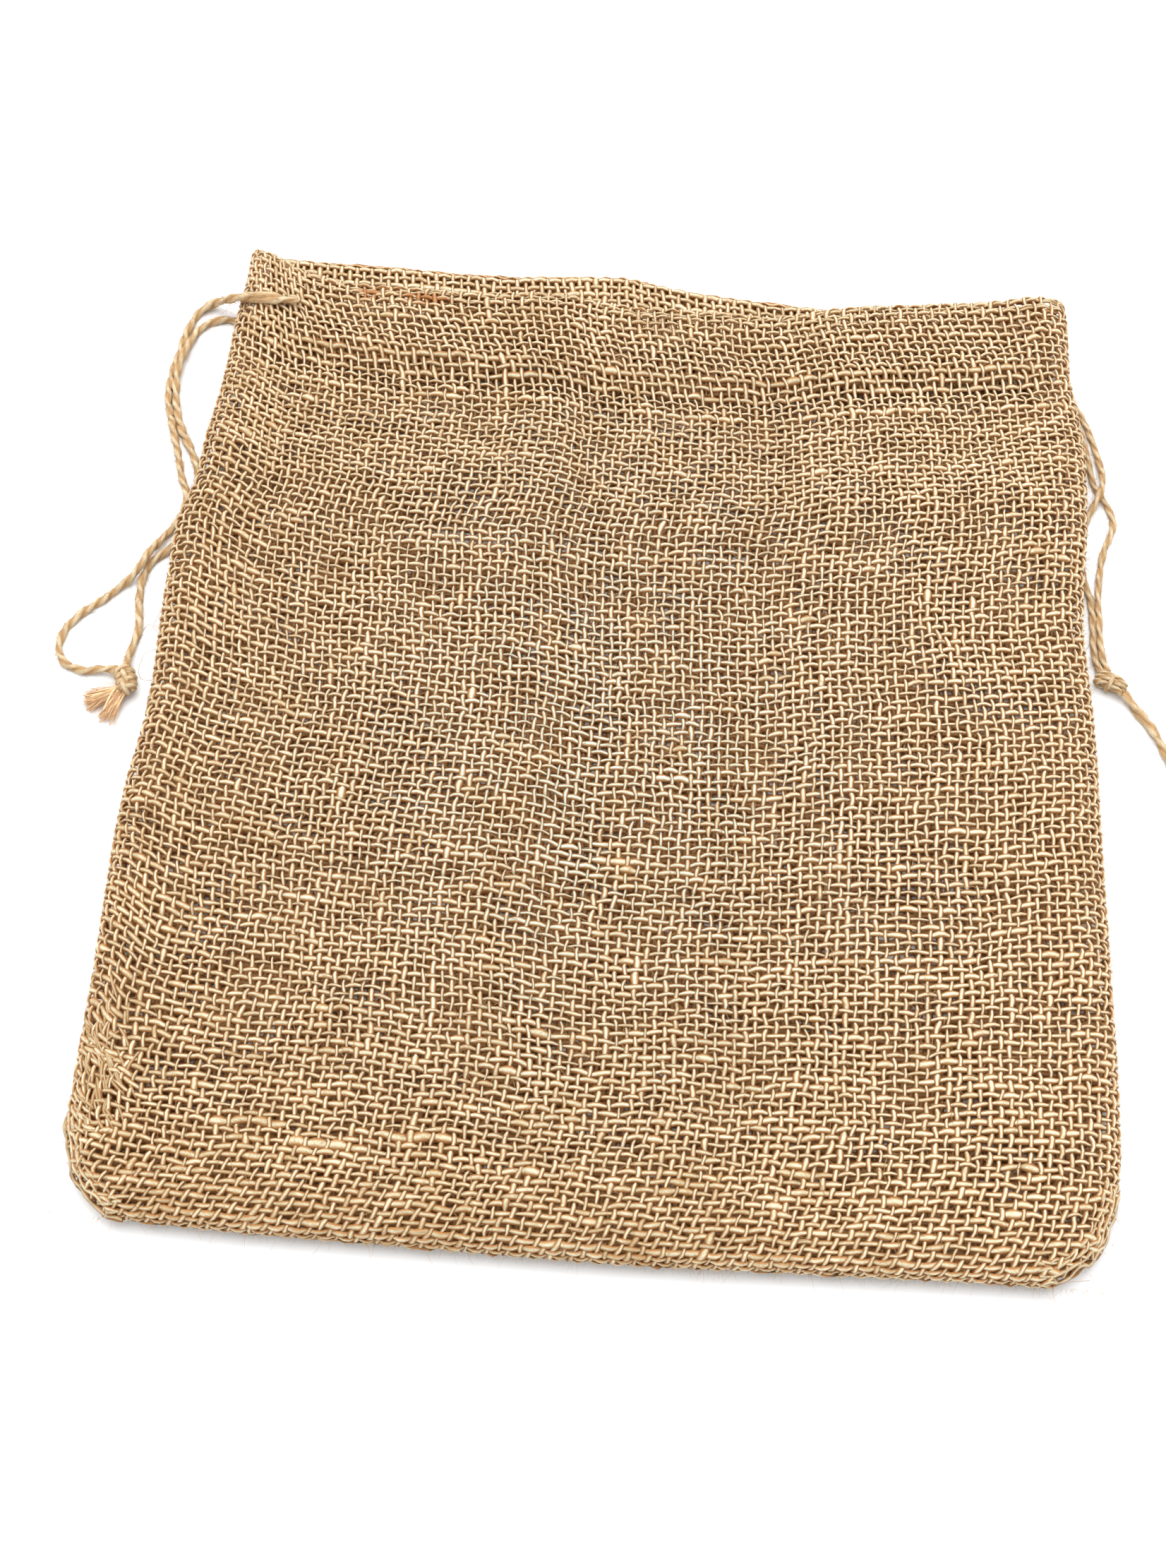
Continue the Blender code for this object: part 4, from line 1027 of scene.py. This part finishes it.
def cloth_hairs(panel, name, count, size):
    """Fibres that lie on and between a panel's yarns, and some that stand out past its edges."""
    tubes = Tubes(3)
    s, t = rng.uniform(3.0, panel.width - 3.0, count), rng.uniform(3.0, panel.fold_at, count)
    middle, normal = panel.middle(s, t)
    root = middle + normal * rng.uniform(-0.5, 0.72, (count, 1))
    heading = rng.uniform(0.0, 2.0 * math.pi, count)
    lead = np.stack([np.cos(heading), np.sin(heading), rng.normal(0.0, 0.1, count)], -1)
    add_hairs(tubes, root, unit(lead), CLOTH_FIBRES, 3, panel.out, size)

    share = rng.uniform(0.0, 1.0, EDGE_HAIRS)
    edge = rng.integers(0, 4, EDGE_HAIRS)
    s = np.select([edge == 0, edge == 1], [0.6, panel.width - 0.6], share * panel.width)
    t = np.select([edge == 2, edge == 3], [0.6, panel.fold_at + 1.0], share * panel.fold_at)
    middle, normal = panel.middle(s, t)
    outwards = np.array(((-1.0, 0.0, 0.0), (1.0, 0.0, 0.0), (0.0, -1.0, 0.0), (0.0, 1.0, 0.0)))
    lead = unit(outwards[edge] + rng.normal(0.0, 0.6, (EDGE_HAIRS, 3)))
    add_hairs(tubes, middle + normal * 0.3, lead, EDGE_FIBRES)
    if panel.out > 0:
        for stray in STRAYS:
            line = smooth_route(np.array(stray), 0.8)
            tubes.add(line, (0.1, 0.2, 1.0), STRAY_SIZE, STRAY_SIZE, STRAY_TONE)
    return tubes.build(name, HAIR_MATERIAL, "jute_cloth", rows=round(math.sqrt(count + EDGE_HAIRS)))


def make_cloth(node, out, rim, cuts, dense, hairs):
    """The woven pieces of one panel with its loose fibres."""
    panel = Panel(node, out, *rim)
    pieces = weave(panel, node + "_weave", cuts, dense, 1.0 if dense else BACK_FULLNESS)
    fuzz = cloth_hairs(panel, node + "_hairs", hairs, 1.0 if dense else BACK_HAIR_SIZE)
    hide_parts(node)
    return pieces


make_camera()
CLOTH_MATERIAL = jute_material("jute_cloth", CLOTH_JUTE)
TWINE_MATERIAL = jute_material("jute_twine", TWINE_JUTE)
TASSEL_MATERIAL = jute_material("jute_tassel", TASSEL_JUTE)
HAIR_MATERIAL = jute_material("jute_hair", HAIR_JUTE)

left_knot = make_knot("left_knot", LEFT_KNOT, LEFT_TWINE)
tassel = make_tassel("left_tassel", TASSEL_ROOT, TASSEL_FANS)
right_knot = make_knot("right_knot", RIGHT_KNOT, RIGHT_TWINE)
make_string("left_strand_a", LEFT_A, LEFT_TWINE, LEFT_A_SWELLS)
make_string("left_strand_b", LEFT_B, LEFT_TWINE, LEFT_B_SWELLS)
make_string("right_strand_c", RIGHT_C, RIGHT_TWINE, RIGHT_SWELLS)
make_string("right_strand_d", RIGHT_D, RIGHT_TWINE, RIGHT_SWELLS)
make_string("right_tail", RIGHT_TAIL, TAIL_TWINE)

make_floor()
back_cloth = make_cloth("back_panel", -1, (BACK_LIFT_REACH, SEAM_LIFT), BACK_CUTS, False,
                        BACK_HAIRS)
make_cloth("front_panel", 1, (FRONT_RIM_REACH, CROWN_HEIGHT - SEAM_HEIGHT), FRONT_CUTS, True,
           FRONT_HAIRS)
make_light()
